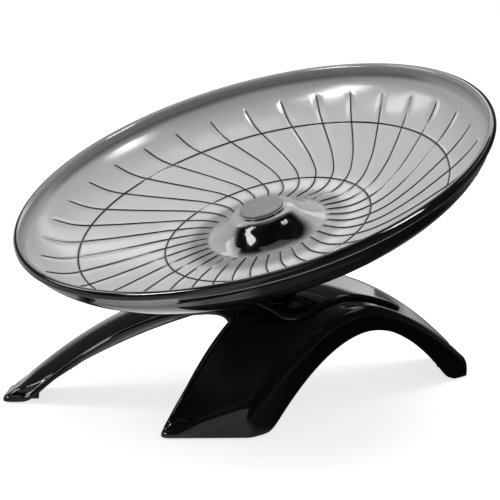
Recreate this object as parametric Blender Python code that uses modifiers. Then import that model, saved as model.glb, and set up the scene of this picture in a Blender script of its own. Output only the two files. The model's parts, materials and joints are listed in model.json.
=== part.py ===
"""A saucer exercise wheel for a small pet.

A shallow ribbed dish spins on a steel spindle that leans forward and to the left. The spindle
stands on a raised cover with a flared neck, and the cover is screwed from below to a hollow
stand with three splayed legs. Lengths are in metres, +Z is up and the stand rests on z = 0,
with the origin under the middle of the whole wheel's bounding box.
"""

import math

import bmesh
import bpy
import numpy as np
from mathutils import Matrix

PART_NAME = "pet_exercise_wheel"

# Lean of the spindle: a turn about X tips it to the front, a turn about Y to the left.
FRONT_LEAN = math.radians(14.45)
LEFT_LEAN = math.radians(14.85)

# The middle of the stand, seen from the origin, and the height of the dish's underside there.
STAND_X = 0.0257
STAND_Y = 0.0202
SEAT_HEIGHT = 0.1058
SEAT_SHIFT_X = 0.0096
SEAT_SHIFT_Y = 0.0090

# Clearances
SEAT_GAP = 0.0003
RUNNING_GAP = 0.00006
CUT_OVERRUN = 0.002
SMALL_BEVEL = 0.0004
MERGE_DISTANCE = 0.00001

# Dish
DISH_RADIUS = 0.1524
DISH_DEPTH = 0.0445
DISH_WALL = 0.0020
BEAD_RADIUS = 0.00275
RIB_COUNT = 34
RIB_HEIGHT = 0.0010
RIB_HALF_WIDTH = 0.0009
RIB_TURN = math.radians(25.8)
RIB_START_TURN = math.radians(35.7)
# Along the dish: share of its radius, then share of its depth above the floor.
WALL_SHARES = ((0.25, 0.025), (0.37, 0.0), (0.49, 0.042), (0.61, 0.144), (0.73, 0.281),
               (0.82, 0.400), (0.88, 0.523), (0.94, 0.702), (1.0, 1.0))
# Along a rib: share of the dish radius, then share of the rib's whole turn.
SWEEP_SHARES = ((0.08, 0.40), (0.25, 0.10), (0.34, 0.0), (0.46, 0.167), (0.58, 0.457),
                (0.70, 0.717), (0.82, 0.907), (0.92, 1.0), (1.0, 1.07))
RIB_ROW_SHARES = (0.27, 0.35, 0.427, 0.436, 0.445, 0.53, 0.62, 0.70, 0.771, 0.780, 0.789,
                  0.85, 0.90)
RIB_START_SHARE = 0.25
RIB_END_SHARE = 0.92
RING_RIB_SHARES = (0.436, 0.780)
OUTSIDE_ROW_SHARES = (0.955, 0.87, 0.77, 0.60, 0.42, 0.27)
OUTSIDE_STEPS = 60
# Degrees round the bead, from the top of the wall over its crest to its underside
BEAD_ANGLES = (190, 135, 80, 25, -30, -85)
DISH_SMOOTH_ANGLE = math.radians(30)
SMOOTH_ANGLE = math.radians(35)

# Bell in the middle of the dish
BELL_HEIGHT = 0.0146
BELL_TOP_RADIUS = 0.0154
BELL_EDGE = 0.0012
# Down the bell: share of the way out to the ribs, then share of the bell's height.
BELL_SHARES = ((0.0, 0.95), (0.2, 0.86), (0.4, 0.60), (0.7, 0.29), (1.0, 0.085))
BELL_BORE_RADIUS = 0.0125

# Hub sleeve under the bell
SLEEVE_RADIUS = 0.0140
SLEEVE_TOP_GAP = 0.0004
SLEEVE_FLANGE_RADIUS = 0.0300
SLEEVE_FLANGE = 0.0024
SLEEVE_WALL = 0.0020
SLEEVE_WEB_TOP = 0.0080
SLEEVE_WEB = 0.0022
SLEEVE_CORE_RADIUS = 0.0085
HUB_SCREW_CIRCLE = 0.0235
BOSS_RADIUS = 0.0032
PILOT_RADIUS = 0.0018

# Bushings and what runs against them
BUSHING_RADIUS = 0.0060
BUSHING_LENGTH = 0.0055
BUSHING_FLANGE_RADIUS = 0.0080
BUSHING_FLANGE = 0.0015
THRUST_WASHER_RADIUS = 0.0080
THRUST_WASHER = 0.0010
RETAINING_WASHER_RADIUS = 0.0070
RETAINING_WASHER = 0.0009
RING_RADIUS = 0.0062
RING_THICKNESS = 0.0008
RING_MOUTH_ANGLE = math.radians(80)

# Spindle
SPINDLE_RADIUS = 0.0040
SPINDLE_GROOVE_RADIUS = 0.0032
SPINDLE_GROOVE_SIDE_GAP = 0.00015
SPINDLE_TIP = 0.0016
SPINDLE_FLANGE_RADIUS = 0.0095
SPINDLE_FLANGE = 0.0025
THREAD_RADIUS = 0.0030
THREAD_TAIL = 0.0015
NUT_ACROSS_CORNERS = 0.0115
NUT_THICKNESS = 0.0050
LOCK_WASHER_RADIUS = 0.0056
LOCK_WASHER = 0.0012

# Cap on the bell
CAP_RADIUS = 0.0140
CAP_THICKNESS = 0.0013
CAP_STUB_WALL = 0.0015
CAP_STUB_DEPTH = 0.0052

# Screws
SCREW_RADIUS = 0.0015
HUB_SCREW_LENGTH = 0.0080
HUB_SCREW_HEAD_RADIUS = 0.0029
COVER_SCREW_LENGTH = 0.0075
COVER_SCREW_HEAD_RADIUS = 0.0060
SCREW_HEAD = 0.0020
SCREW_SOCKET_RADIUS = 0.0013
SCREW_SOCKET_DEPTH = 0.0011

# Stand: a crown that falls along three legs, and a wall below its rounded edge.
CROWN_HEIGHT = 0.0705
CROWN_POWER = 2.19
LEG_NARROWING = 1.05
LEG_ANGLES = (math.radians(180.5), math.radians(-99.8), math.radians(9.2))
LEFT_REACH = 0.1788
FRONT_REACH = 0.1159
RIGHT_REACH = 0.1347
STAND_WAIST = 0.060
SHELL_WALL = 0.0030
SHELL_EDGE = 0.0060
EDGE_SHARE = 0.6
EDGE_SMOOTHINGS = 8
TIP_EDGE_SHARE = 0.85
SHELL_LEAST_WALL = 0.0035
SHELL_LEAST_INSIDE = 0.0010
SHELL_HOLE_RADIUS = 0.0235
SHELL_LIFT = 0.0010
SHELL_COLUMNS = 74
# Corners of the stand seen from above, as shares of the reach of the leg that they belong to.
# The front leg has a knee in its left side before its two foot corners.
LEFT_FOOT_SHARES = ((-0.981, -0.015), (-0.990, -0.173))
FRONT_LEG_SHARES = ((-0.461, -0.617), (-0.689, -0.880), (-0.175, -0.871))
RIGHT_FOOT_SHARES = ((0.913, 0.206), (0.909, 0.586))
# Corners between the legs, as shares of the waist.
FRONT_WAIST_SHARE = (-0.426, -0.618)
BACK_WAIST_SHARE = (0.096, 0.848)
LEFT_FOOT_CORNER = 0.0051
FRONT_WAIST_CORNER = 0.0089
KNEE_CORNER = 0.0353
FRONT_TOE_CORNER = 0.0051
FRONT_HEEL_CORNER = 0.0101
RIGHT_FOOT_CORNER = 0.0057
BACK_WAIST_CORNER = 0.027
HALF_ARC_STEPS = 6
# Degrees round the shell's upper edge and the cover's edge
SHELL_EDGE_ANGLES = (30, 60, 90)
COVER_EDGE_ANGLES = (0, 45, 90)
# Where the lower edge leaves the floor beside each foot, and how high it arches.
FOOT_FLAT = 0.016
FRONT_ARCH = 0.047
LEFT_ARCH = 0.0579
BACK_ARCH = 0.0475
ARCH_POWER = 1.89
FRONT_ARCH_PEAK_SHARE = 0.504
LEFT_ARCH_PEAK_SHARE = 0.632
BACK_ARCH_PEAK_SHARE = 0.407
CROWN_ROW_SHARES = (0.0, 0.28, 0.52, 0.70, 0.83, 0.93, 1.0)
INSIDE_ROW_SHARES = (1.0, 0.90, 0.76, 0.52, 0.25, 0.0)
SLOPE_STEP_SHARE = 0.01
STEEPEST_SHARE = 1.9

# Soles inside the feet and the pads under them
SOLE_THICKNESS = 0.0025
SOLE_LENGTH = 0.020
SOLE_WIDTH = 0.066
SOLE_SHARES = (0.927, 0.837, 0.909)
SOLE_ANGLES = (math.radians(185.3), math.radians(-116.2), math.radians(23.5))
PAD_THICKNESS = 0.0026
PAD_LENGTH = 0.0100
PAD_WIDTH = 0.0160
PAD_EDGE = 0.0030

# Cover on the stand
COVER_THICKNESS = 0.0028
COVER_EDGE = 0.0018
COVER_LIP = 0.0025
COVER_RELIEF = 0.0014
COVER_COLUMNS = 56
COVER_CORNER = 0.009
COVER_FRONT_CORNER = 0.0144
COVER_RIGHT_CORNER = 0.0164
COVER_WAIST_CORNER = 0.022
# Corners of the cover as shares of the reach of each leg, and of the waist.
COVER_LEFT_SHARES = ((-0.475, 0.050), (-0.475, -0.078))
COVER_FRONT_SHARES = ((-0.062, -0.387), (0.035, -0.518))
COVER_RIGHT_SHARES = ((0.600, 0.069), (0.503, 0.215))
COVER_FRONT_WAIST_SHARE = (-0.354, -0.529)
COVER_BACK_WAIST_SHARE = (0.033, 0.725)
NECK_BASE_RADIUS = 0.0270
NECK_TOP_RADIUS = 0.0130
NECK_PLATE = 0.0030
NECK_ROW_SHARES = (0.0, 0.25, 0.5, 0.75, 1.0)
COVER_SCREW_CIRCLE = 0.0330
COVER_SCREW_ANGLES = (math.radians(-42), math.radians(103), math.radians(-143))
COVER_BOSS_RADIUS = 0.0038
SHELL_BOSS_RADIUS = 0.0068
SHELL_BOSS_DROP = 0.0030
BOSS_RECESS = 0.0005

# Sides of round pieces
LARGE_SIDES = 32
MEDIUM_SIDES = 20
SMALL_SIDES = 10

# Heights along the spindle, measured from the underside of the dish's floor
FLOOR_TOP = DISH_WALL
RIM_TOP = FLOOR_TOP + DISH_DEPTH
BELL_TOP = FLOOR_TOP + BELL_HEIGHT
SLEEVE_TOP = BELL_TOP - DISH_WALL - SLEEVE_TOP_GAP
SLEEVE_BOTTOM = -SEAT_GAP - SLEEVE_FLANGE
LOWER_BUSHING_TOP = SLEEVE_BOTTOM - SEAT_GAP
LOWER_BUSHING_BOTTOM = LOWER_BUSHING_TOP - BUSHING_FLANGE
THRUST_TOP = LOWER_BUSHING_BOTTOM - SEAT_GAP
THRUST_BOTTOM = THRUST_TOP - THRUST_WASHER
FLANGE_TOP = THRUST_BOTTOM - SEAT_GAP
FLANGE_BOTTOM = FLANGE_TOP - SPINDLE_FLANGE
NECK_TOP = FLANGE_BOTTOM - SEAT_GAP
NECK_PLATE_BOTTOM = NECK_TOP - NECK_PLATE
LOCK_WASHER_TOP = NECK_PLATE_BOTTOM - SEAT_GAP
NUT_TOP = LOCK_WASHER_TOP - LOCK_WASHER - SEAT_GAP
NUT_BOTTOM = NUT_TOP - NUT_THICKNESS
UPPER_BUSHING_SEAT = SLEEVE_WEB_TOP + SEAT_GAP
UPPER_BUSHING_TOP = UPPER_BUSHING_SEAT + BUSHING_FLANGE
RETAINING_WASHER_SEAT = UPPER_BUSHING_TOP + SEAT_GAP
RING_SEAT = RETAINING_WASHER_SEAT + RETAINING_WASHER + SEAT_GAP
GROOVE_BOTTOM = RING_SEAT - SPINDLE_GROOVE_SIDE_GAP
GROOVE_TOP = RING_SEAT + RING_THICKNESS + SPINDLE_GROOVE_SIDE_GAP
SPINDLE_TOP = GROOVE_TOP + SPINDLE_TIP
CAP_SEAT = BELL_TOP + SEAT_GAP
BORE_RADIUS = SPINDLE_RADIUS + RUNNING_GAP
BUSHING_SEAT_RADIUS = BUSHING_RADIUS + RUNNING_GAP
PAD_TOP = PAD_THICKNESS
SOLE_BOTTOM = PAD_TOP + SEAT_GAP

# Colours as linear red, green and blue, then roughness and metallic
SMOKE = ((0.50, 0.50, 0.50), 0.12, 0.0)
BLACK_GLOSS = ((0.012, 0.012, 0.013), 0.10, 0.0)
BLACK_PLASTIC = ((0.020, 0.020, 0.021), 0.35, 0.0)
GREY_PLASTIC = ((0.30, 0.30, 0.30), 0.40, 0.0)
ACETAL = ((0.75, 0.75, 0.72), 0.45, 0.0)
STEEL = ((0.55, 0.55, 0.56), 0.28, 1.0)
RUBBER = ((0.030, 0.030, 0.030), 0.80, 0.0)


def clear_scene():
    for old in list(bpy.data.objects):
        bpy.data.objects.remove(old, do_unlink=True)


def make_collection(name):
    collection = bpy.data.collections.new(name)
    bpy.context.scene.collection.children.link(collection)
    return collection


clear_scene()
PIECES = make_collection(PART_NAME)
CUTTERS = make_collection("cutters")


def material(name, finish):
    """One Principled material for one piece."""
    colour, roughness, metallic = finish
    made = bpy.data.materials.new(name)
    made.use_nodes = True
    shader = made.node_tree.nodes["Principled BSDF"]
    shader.inputs["Base Color"].default_value = (*colour, 1.0)
    shader.inputs["Roughness"].default_value = roughness
    shader.inputs["Metallic"].default_value = metallic
    return made


def add_object(name, mesh, finish, parent=None, collection=None):
    """Put a mesh or curve into the scene as a named piece with its own material."""
    piece = bpy.data.objects.new(name, mesh)
    (collection or PIECES).objects.link(piece)
    piece.parent = parent
    if finish:
        mesh.materials.append(material(name + "_finish", finish))
    return piece


def add_cutter(name, mesh, parent=None):
    cutter = add_object(name, mesh, None, parent, CUTTERS)
    cutter.hide_render = True
    cutter.display_type = "WIRE"
    return cutter


def boolean(piece, cutter, operation):
    step = piece.modifiers.new(cutter.name + "_" + operation.lower(), "BOOLEAN")
    step.operation = operation
    step.solver = "EXACT"
    step.object = cutter


def screw_mesh(name, profile, sides, closed):
    """Mesh of a profile of (radius, height) points turned about Z by a Screw modifier."""
    count = len(profile)
    edges = [(i, i + 1) for i in range(count - 1)]
    if closed:
        edges.append((count - 1, 0))
    mesh = bpy.data.meshes.new(name)
    mesh.from_pydata([(radius, 0, height) for radius, height in profile], edges, [])
    outline = bpy.data.objects.new(name + "_outline", mesh)
    CUTTERS.objects.link(outline)
    turn = outline.modifiers.new("turn", "SCREW")
    turn.angle = 2 * math.pi
    turn.steps = sides
    turn.render_steps = sides
    turn.use_merge_vertices = True
    turn.merge_threshold = MERGE_DISTANCE
    evaluated = outline.evaluated_get(bpy.context.evaluated_depsgraph_get())
    turned_mesh = bpy.data.meshes.new_from_object(evaluated)
    turned_mesh.name = name
    bpy.data.objects.remove(outline, do_unlink=True)
    bpy.data.meshes.remove(mesh)
    return turned_mesh


def shade(mesh, angle=SMOOTH_ANGLE):
    mesh.shade_smooth()
    mesh.set_sharp_from_angle(angle=angle)


def turned(name, profile, sides, finish, parent, closed=True):
    """A round piece whose profile runs down its outer side."""
    mesh = screw_mesh(name, profile, sides, closed)
    shade(mesh)
    return add_object(name, mesh, finish, parent)


def washer(name, inner, outer, bottom, thickness, sides, finish, parent):
    top = bottom + thickness
    profile = [(inner, top), (outer, top), (outer, bottom), (inner, bottom)]
    return turned(name, profile, sides, finish, parent)


def cylinder_mesh(name, radius, bottom, top, sides):
    mesh = bpy.data.meshes.new(name)
    made = bmesh.new()
    bmesh.ops.create_cone(made, cap_ends=True, segments=sides, radius1=radius, radius2=radius,
                          depth=top - bottom)
    bmesh.ops.translate(made, verts=made.verts, vec=(0, 0, (top + bottom) / 2))
    made.to_mesh(mesh)
    made.free()
    return mesh


def smooth_through(points, at):
    """Height of a smooth curve through (x, y) points at the places in the array at.

    Each stretch is a cubic that leaves its two ends with the mean slope of the chords there.
    """
    xs, ys = np.array(points, dtype=float).T
    chords = np.diff(ys) / np.diff(xs)
    slopes = np.concatenate([chords[:1], (chords[:-1] + chords[1:]) / 2, chords[-1:]])
    at = np.asarray(at, dtype=float)
    place = np.clip(np.searchsorted(xs, at) - 1, 0, len(xs) - 2)
    width = xs[place + 1] - xs[place]
    t = (at - xs[place]) / width
    return ((2 * t**3 - 3 * t**2 + 1) * ys[place] + (t**3 - 2 * t**2 + t) * width * slopes[place]
            + (3 * t**2 - 2 * t**3) * ys[place + 1] + (t**3 - t**2) * width * slopes[place + 1])


def wall_height(shares):
    """Height of the dish's inner surface where the radius is a share of the dish radius."""
    return FLOOR_TOP + DISH_DEPTH * smooth_through(WALL_SHARES, shares)


def bell_points():
    """Outer surface of the bell from its bore to the ring where the ribs start."""
    foot = DISH_RADIUS * RIB_START_SHARE
    span = foot - BELL_TOP_RADIUS
    points = [(BELL_BORE_RADIUS, BELL_TOP), (BELL_TOP_RADIUS - BELL_EDGE, BELL_TOP)]
    for across, up in BELL_SHARES[:-1]:
        points.append((BELL_TOP_RADIUS + span * across, FLOOR_TOP + BELL_HEIGHT * up))
    return points


def under(points):
    """The same line moved down and out by the wall, square to its own slope."""
    line = np.array(points)
    slope = np.gradient(line, axis=0)
    length = np.hypot(slope[:, 0], slope[:, 1])
    moved = line + DISH_WALL * np.stack([slope[:, 1], -slope[:, 0]], axis=1) / length[:, None]
    return [tuple(point) for point in moved]


def dish_profile():
    """Closed profile of the dish: bell, floor and wall outwards, bead, then the underside."""
    bell = bell_points()
    rib_shares = (RIB_START_SHARE,) + RIB_ROW_SHARES + (RIB_END_SHARE,)
    inside = [(DISH_RADIUS * share, float(wall_height(share))) for share in rib_shares]
    bead_middle = (DISH_RADIUS - BEAD_RADIUS, RIM_TOP - BEAD_RADIUS)
    bead = []
    for angle in BEAD_ANGLES:
        turn = math.radians(angle)
        bead.append((bead_middle[0] + BEAD_RADIUS * math.cos(turn),
                     bead_middle[1] + BEAD_RADIUS * math.sin(turn)))
    fine = np.linspace(RIB_START_SHARE, 1, OUTSIDE_STEPS)
    wall = under([(DISH_RADIUS * share, float(wall_height(share))) for share in fine])
    outside = [wall[int(np.argmin(abs(fine - share)))] for share in OUTSIDE_ROW_SHARES]
    bell_inside = under(bell[2:] + inside[:1])[::-1]
    crown = (BELL_TOP_RADIUS - BELL_EDGE, BELL_TOP - DISH_WALL)
    bore = (BELL_BORE_RADIUS, BELL_TOP - DISH_WALL)
    return bell + inside + bead + outside + bell_inside[:-1] + [crown, bore], len(bell)


def rib_dish(mesh, profile, first_rib_row):
    """Twist the rings of the turned dish along the ribs' sweep and lift the ribs' crests.

    Every rib has three columns: its two foot lines and its crest. A ring's columns turn by the
    sweep at its radius, close up to the rib's width where ribs run, and lie evenly elsewhere.
    """
    profile = np.array(profile)
    places = np.empty(len(mesh.vertices) * 3)
    mesh.vertices.foreach_get("co", places)
    places = places.reshape(-1, 3)
    radius = np.hypot(places[:, 0], places[:, 1])
    away = (radius[:, None] - profile[:, 0]) ** 2 + (places[:, 2, None] - profile[:, 1]) ** 2
    row = np.argmin(away, axis=1)
    columns = 3 * RIB_COUNT
    angle = np.arctan2(places[:, 1], places[:, 0])
    column = np.rint(angle / (2 * math.pi) * columns).astype(int) % columns
    side = column % 3 - 1
    last_rib_row = first_rib_row + len(RIB_ROW_SHARES) + 1
    ribbed = (row >= first_rib_row) & (row <= last_rib_row)
    spread = np.where(ribbed, RIB_HALF_WIDTH / radius, 2 * math.pi / columns)
    shares = np.clip(radius / DISH_RADIUS, SWEEP_SHARES[0][0], 1)
    sweep = RIB_TURN * smooth_through(SWEEP_SHARES, shares)
    turn = RIB_START_TURN + column // 3 * 2 * math.pi / RIB_COUNT + side * spread + sweep
    crest = (row > first_rib_row) & (row < last_rib_row) & (side == 0)
    rings = [first_rib_row + 1 + RIB_ROW_SHARES.index(share) for share in RING_RIB_SHARES]
    lift = RIB_HEIGHT * (crest | np.isin(row, rings))
    heights = places[:, 2] + lift
    placed = np.stack([radius * np.cos(turn), radius * np.sin(turn), heights], axis=1)
    mesh.vertices.foreach_set("co", placed.ravel())
    mesh.update()


def saucer_dish(parent):
    profile, first_rib_row = dish_profile()
    mesh = screw_mesh("saucer_dish", profile, 3 * RIB_COUNT, True)
    rib_dish(mesh, profile, first_rib_row)
    shaped = bmesh.new()
    shaped.from_mesh(mesh)
    bmesh.ops.triangulate(shaped, faces=shaped.faces)
    shaped.to_mesh(mesh)
    shaped.free()
    shade(mesh, DISH_SMOOTH_ANGLE)
    dish = add_object("saucer_dish", mesh, SMOKE, parent)
    for number in range(3):
        angle = 2 * math.pi * number / 3
        place = Matrix.Rotation(angle, 4, "Z") @ Matrix.Translation((HUB_SCREW_CIRCLE, 0, 0))
        foot = DISH_RADIUS * RIB_START_SHARE
        share = (HUB_SCREW_CIRCLE - BELL_TOP_RADIUS) / (foot - BELL_TOP_RADIUS)
        roof = FLOOR_TOP + BELL_HEIGHT * float(smooth_through(BELL_SHARES, share)) - DISH_WALL
        boss = add_cutter(f"hub_boss_{number + 1}",
                          cylinder_mesh("hub_boss", BOSS_RADIUS, 0, roof, SMALL_SIDES), parent)
        hole = add_cutter(f"hub_pilot_{number + 1}",
                          cylinder_mesh("hub_pilot", PILOT_RADIUS, -CUT_OVERRUN,
                                        roof - DISH_WALL, SMALL_SIDES), parent)
        boss.matrix_local = place
        hole.matrix_local = place
        boolean(dish, boss, "UNION")
        boolean(dish, hole, "DIFFERENCE")
    return dish


def hub_sleeve(parent):
    """Turned sleeve with a flange, a cored skirt, a web that holds both bushings and a cup."""
    skirt = SLEEVE_RADIUS - SLEEVE_WALL
    profile = [
        (BUSHING_SEAT_RADIUS, SLEEVE_WEB_TOP),
        (BELL_BORE_RADIUS, SLEEVE_WEB_TOP),
        (BELL_BORE_RADIUS, SLEEVE_TOP),
        (SLEEVE_RADIUS, SLEEVE_TOP),
        (SLEEVE_RADIUS, -SEAT_GAP),
        (SLEEVE_FLANGE_RADIUS, -SEAT_GAP),
        (SLEEVE_FLANGE_RADIUS, SLEEVE_BOTTOM),
        (skirt, SLEEVE_BOTTOM),
        (skirt, SLEEVE_WEB_TOP - SLEEVE_WEB),
        (SLEEVE_CORE_RADIUS, SLEEVE_WEB_TOP - SLEEVE_WEB),
        (SLEEVE_CORE_RADIUS, SLEEVE_BOTTOM),
        (BUSHING_SEAT_RADIUS, SLEEVE_BOTTOM),
    ]
    sleeve = turned("hub_sleeve", profile, LARGE_SIDES, BLACK_PLASTIC, parent)
    for number in range(3):
        hole = add_cutter(f"sleeve_hole_{number + 1}",
                          cylinder_mesh("sleeve_hole", SCREW_RADIUS + SEAT_GAP,
                                        SLEEVE_BOTTOM - CUT_OVERRUN, CUT_OVERRUN, SMALL_SIDES),
                          parent)
        turn = Matrix.Rotation(2 * math.pi * number / 3, 4, "Z")
        hole.matrix_local = turn @ Matrix.Translation((HUB_SCREW_CIRCLE, 0, 0))
        boolean(sleeve, hole, "DIFFERENCE")
    return sleeve


def bushing(name, seat, up, parent):
    """Flanged bushing whose body points up or down from the seat of its flange."""
    body = seat + up * BUSHING_LENGTH
    flange = seat - up * BUSHING_FLANGE
    profile = [
        (BORE_RADIUS, body), (BUSHING_RADIUS, body), (BUSHING_RADIUS, seat),
        (BUSHING_FLANGE_RADIUS, seat), (BUSHING_FLANGE_RADIUS, flange), (BORE_RADIUS, flange),
    ]
    if up < 0:
        profile.reverse()
    return turned(name, profile, MEDIUM_SIDES, ACETAL, parent)


def hub_cap(parent):
    """Cap with a hollow stub that plugs the bell and the cup of the sleeve."""
    stub = BELL_BORE_RADIUS - SEAT_GAP
    top = CAP_SEAT + CAP_THICKNESS
    profile = [
        (0, top), (CAP_RADIUS - SMALL_BEVEL, top), (CAP_RADIUS, top - SMALL_BEVEL),
        (CAP_RADIUS, CAP_SEAT), (stub, CAP_SEAT), (stub, CAP_SEAT - CAP_STUB_DEPTH),
        (stub - CAP_STUB_WALL, CAP_SEAT - CAP_STUB_DEPTH), (stub - CAP_STUB_WALL, CAP_SEAT),
        (0, CAP_SEAT),
    ]
    return turned("hub_cap", profile, LARGE_SIDES, GREY_PLASTIC, parent, closed=False)


def screw(name, length, head_radius, finish, parent, place):
    """Pan head screw that stands at its head's seat with its point up."""
    profile = [
        (0, length), (SCREW_RADIUS - SMALL_BEVEL, length), (SCREW_RADIUS, length - SMALL_BEVEL),
        (SCREW_RADIUS, 0), (head_radius, 0), (head_radius, SMALL_BEVEL - SCREW_HEAD),
        (head_radius - SMALL_BEVEL, -SCREW_HEAD), (SCREW_SOCKET_RADIUS, -SCREW_HEAD),
        (SCREW_SOCKET_RADIUS, SCREW_SOCKET_DEPTH - SCREW_HEAD), (0, SCREW_SOCKET_DEPTH - SCREW_HEAD),
    ]
    piece = turned(name, profile, SMALL_SIDES, finish, parent, closed=False)
    piece.matrix_local = place
    return piece


def hub_screws(parent):
    for number in range(3):
        turn = Matrix.Rotation(2 * math.pi * number / 3, 4, "Z")
        seat = Matrix.Translation((HUB_SCREW_CIRCLE, 0, SLEEVE_BOTTOM - SEAT_GAP))
        screw(f"hub_screw_{number + 1}", HUB_SCREW_LENGTH, HUB_SCREW_HEAD_RADIUS, STEEL, parent,
              turn @ seat)


def spindle(parent):
    """Shouldered spindle: grooved journal above its flange, thread below it."""
    thread_bottom = NUT_BOTTOM - THREAD_TAIL
    profile = [
        (0, SPINDLE_TOP), (SPINDLE_RADIUS - SMALL_BEVEL, SPINDLE_TOP),
        (SPINDLE_RADIUS, SPINDLE_TOP - SMALL_BEVEL), (SPINDLE_RADIUS, GROOVE_TOP),
        (SPINDLE_GROOVE_RADIUS, GROOVE_TOP), (SPINDLE_GROOVE_RADIUS, GROOVE_BOTTOM),
        (SPINDLE_RADIUS, GROOVE_BOTTOM), (SPINDLE_RADIUS, FLANGE_TOP),
        (SPINDLE_FLANGE_RADIUS, FLANGE_TOP), (SPINDLE_FLANGE_RADIUS, FLANGE_BOTTOM),
        (THREAD_RADIUS, FLANGE_BOTTOM), (THREAD_RADIUS, thread_bottom + SMALL_BEVEL),
        (THREAD_RADIUS - SMALL_BEVEL, thread_bottom), (0, thread_bottom),
    ]
    return turned("pivot_spindle", profile, MEDIUM_SIDES, STEEL, parent, closed=False)


def flat_piece(name, outlines, bottom, thickness, finish, parent):
    """Flat piece: closed outlines of a 2D curve, extruded by half the thickness each way."""
    curve = bpy.data.curves.new(name, "CURVE")
    curve.dimensions = "2D"
    curve.fill_mode = "BOTH"
    curve.extrude = thickness / 2
    for outline in outlines:
        spline = curve.splines.new("POLY")
        spline.points.add(len(outline) - 1)
        for point, (x, y) in zip(spline.points, outline):
            point.co = (x, y, 0, 1)
        spline.use_cyclic_u = True
    piece = add_object(name, curve, finish, parent)
    piece.location.z = bottom + thickness / 2
    return piece


def circle_points(radius, sides, start=0.0, sweep=2 * math.pi, ends=False):
    steps = sides - 1 if ends else sides
    return [(radius * math.cos(start + sweep * i / steps),
             radius * math.sin(start + sweep * i / steps)) for i in range(sides)]


def spindle_nut(parent):
    hexagon = circle_points(NUT_ACROSS_CORNERS / 2, 6)
    hole = circle_points(THREAD_RADIUS + SEAT_GAP, MEDIUM_SIDES)
    return flat_piece("spindle_nut", [hexagon, hole], NUT_BOTTOM, NUT_THICKNESS, STEEL, parent)


def retaining_ring(parent):
    """Open ring in the spindle's groove, its mouth to the front."""
    start = RING_MOUTH_ANGLE / 2
    sweep = 2 * math.pi - RING_MOUTH_ANGLE
    outer = circle_points(RING_RADIUS, MEDIUM_SIDES, start, sweep, True)
    inner = circle_points(SPINDLE_GROOVE_RADIUS + SEAT_GAP, MEDIUM_SIDES, start, sweep, True)
    return flat_piece("retaining_ring", [outer + inner[::-1]], RING_SEAT, RING_THICKNESS, STEEL,
                      parent)


def along(angle):
    return np.array([math.cos(angle), math.sin(angle)])


def crown(places):
    """Height of the stand's crown over (x, y) places measured from the stand's middle.

    From the full height each leg takes off (distance along the leg / reach) to a power. The
    distance along a leg fades with the cosine of the narrowed angle away from the leg.
    """
    distance = np.hypot(places[:, 0], places[:, 1])
    direction = np.arctan2(places[:, 1], places[:, 0])
    loss = np.zeros(len(places))
    for angle, reach in zip(LEG_ANGLES, (LEFT_REACH, FRONT_REACH, RIGHT_REACH)):
        away = (direction - angle + math.pi) % (2 * math.pi) - math.pi
        away = np.clip(away * LEG_NARROWING, -math.pi / 2, math.pi / 2)
        loss += (distance * np.cos(away) / reach) ** CROWN_POWER
    return CROWN_HEIGHT * (1 - loss)


def corners_of(left, front_waist, front, right, back_waist):
    """Corners of an outline round the stand, from shares of the legs' reaches and the waist."""
    corners = [(LEFT_REACH * x, LEFT_REACH * y) for x, y in left]
    corners.append((STAND_WAIST * front_waist[0], STAND_WAIST * front_waist[1]))
    corners += [(FRONT_REACH * x, FRONT_REACH * y) for x, y in front]
    corners += [(RIGHT_REACH * x, RIGHT_REACH * y) for x, y in right]
    corners.append((STAND_WAIST * back_waist[0], STAND_WAIST * back_waist[1]))
    return np.array(corners)


def rounded_outline(corners, fillets, count):
    """Points evenly along a rounded polygon, their outward normals and the corners' places.

    Each corner becomes an arc that touches both of its sides. The fine line of arcs and sides
    is then measured. A point is read in the middle of each arc, and about count points in all
    lie at even distances from each arc's middle to the next.
    """
    fine = []
    middles = []
    total = len(corners)
    for i in range(total):
        corner = corners[i]
        back = corners[i - 1] - corner
        ahead = corners[(i + 1) % total] - corner
        back /= np.hypot(*back)
        ahead /= np.hypot(*ahead)
        half = math.acos(max(-1.0, min(1.0, float(back @ ahead)))) / 2
        bisector = (back + ahead) / np.hypot(*(back + ahead))
        middle = corner + bisector * fillets[i] / math.sin(half)
        first = corner + back * fillets[i] / math.tan(half) - middle
        last = corner + ahead * fillets[i] / math.tan(half) - middle
        start = math.atan2(first[1], first[0])
        sweep = (math.atan2(last[1], last[0]) - start + math.pi) % (2 * math.pi) - math.pi
        turns = start + sweep * np.linspace(0, 1, 2 * HALF_ARC_STEPS + 1)
        middles.append(len(fine) + HALF_ARC_STEPS)
        fine += [middle + fillets[i] * along(turn) for turn in turns]
    fine = np.array(fine)
    closed = np.vstack([fine, fine[:1]])
    distance = np.concatenate([[0], np.cumsum(np.hypot(*np.diff(closed, axis=0).T))])
    starts = distance[middles]
    spans = np.diff(np.append(starts, starts[0] + distance[-1]))
    parts = np.maximum(1, np.rint(count * spans / distance[-1])).astype(int)
    wanted = np.concatenate([start + span * np.arange(part) / part
                             for start, span, part in zip(starts, spans, parts)])
    places = wanted % distance[-1]
    points = np.stack([np.interp(places, distance, closed[:, axis]) for axis in (0, 1)], axis=1)
    tangent = np.roll(points, -1, axis=0) - np.roll(points, 1, axis=0)
    tangent /= np.hypot(*tangent.T)[:, None]
    normals = np.stack([tangent[:, 1], -tangent[:, 0]], axis=1)
    return points, normals, wanted, starts, distance[-1]


def arch(run, length, peak_share, height):
    """Rise of the lower edge: full height at the peak, none at both ends of the run."""
    inside = (run > 0) & (run < length)
    share = np.where(inside, run / length, 0)
    far = np.where(share < peak_share, (peak_share - share) / peak_share,
                   (share - peak_share) / (1 - peak_share))
    return np.where(inside, height * (1 - far**ARCH_POWER), 0)


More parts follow.
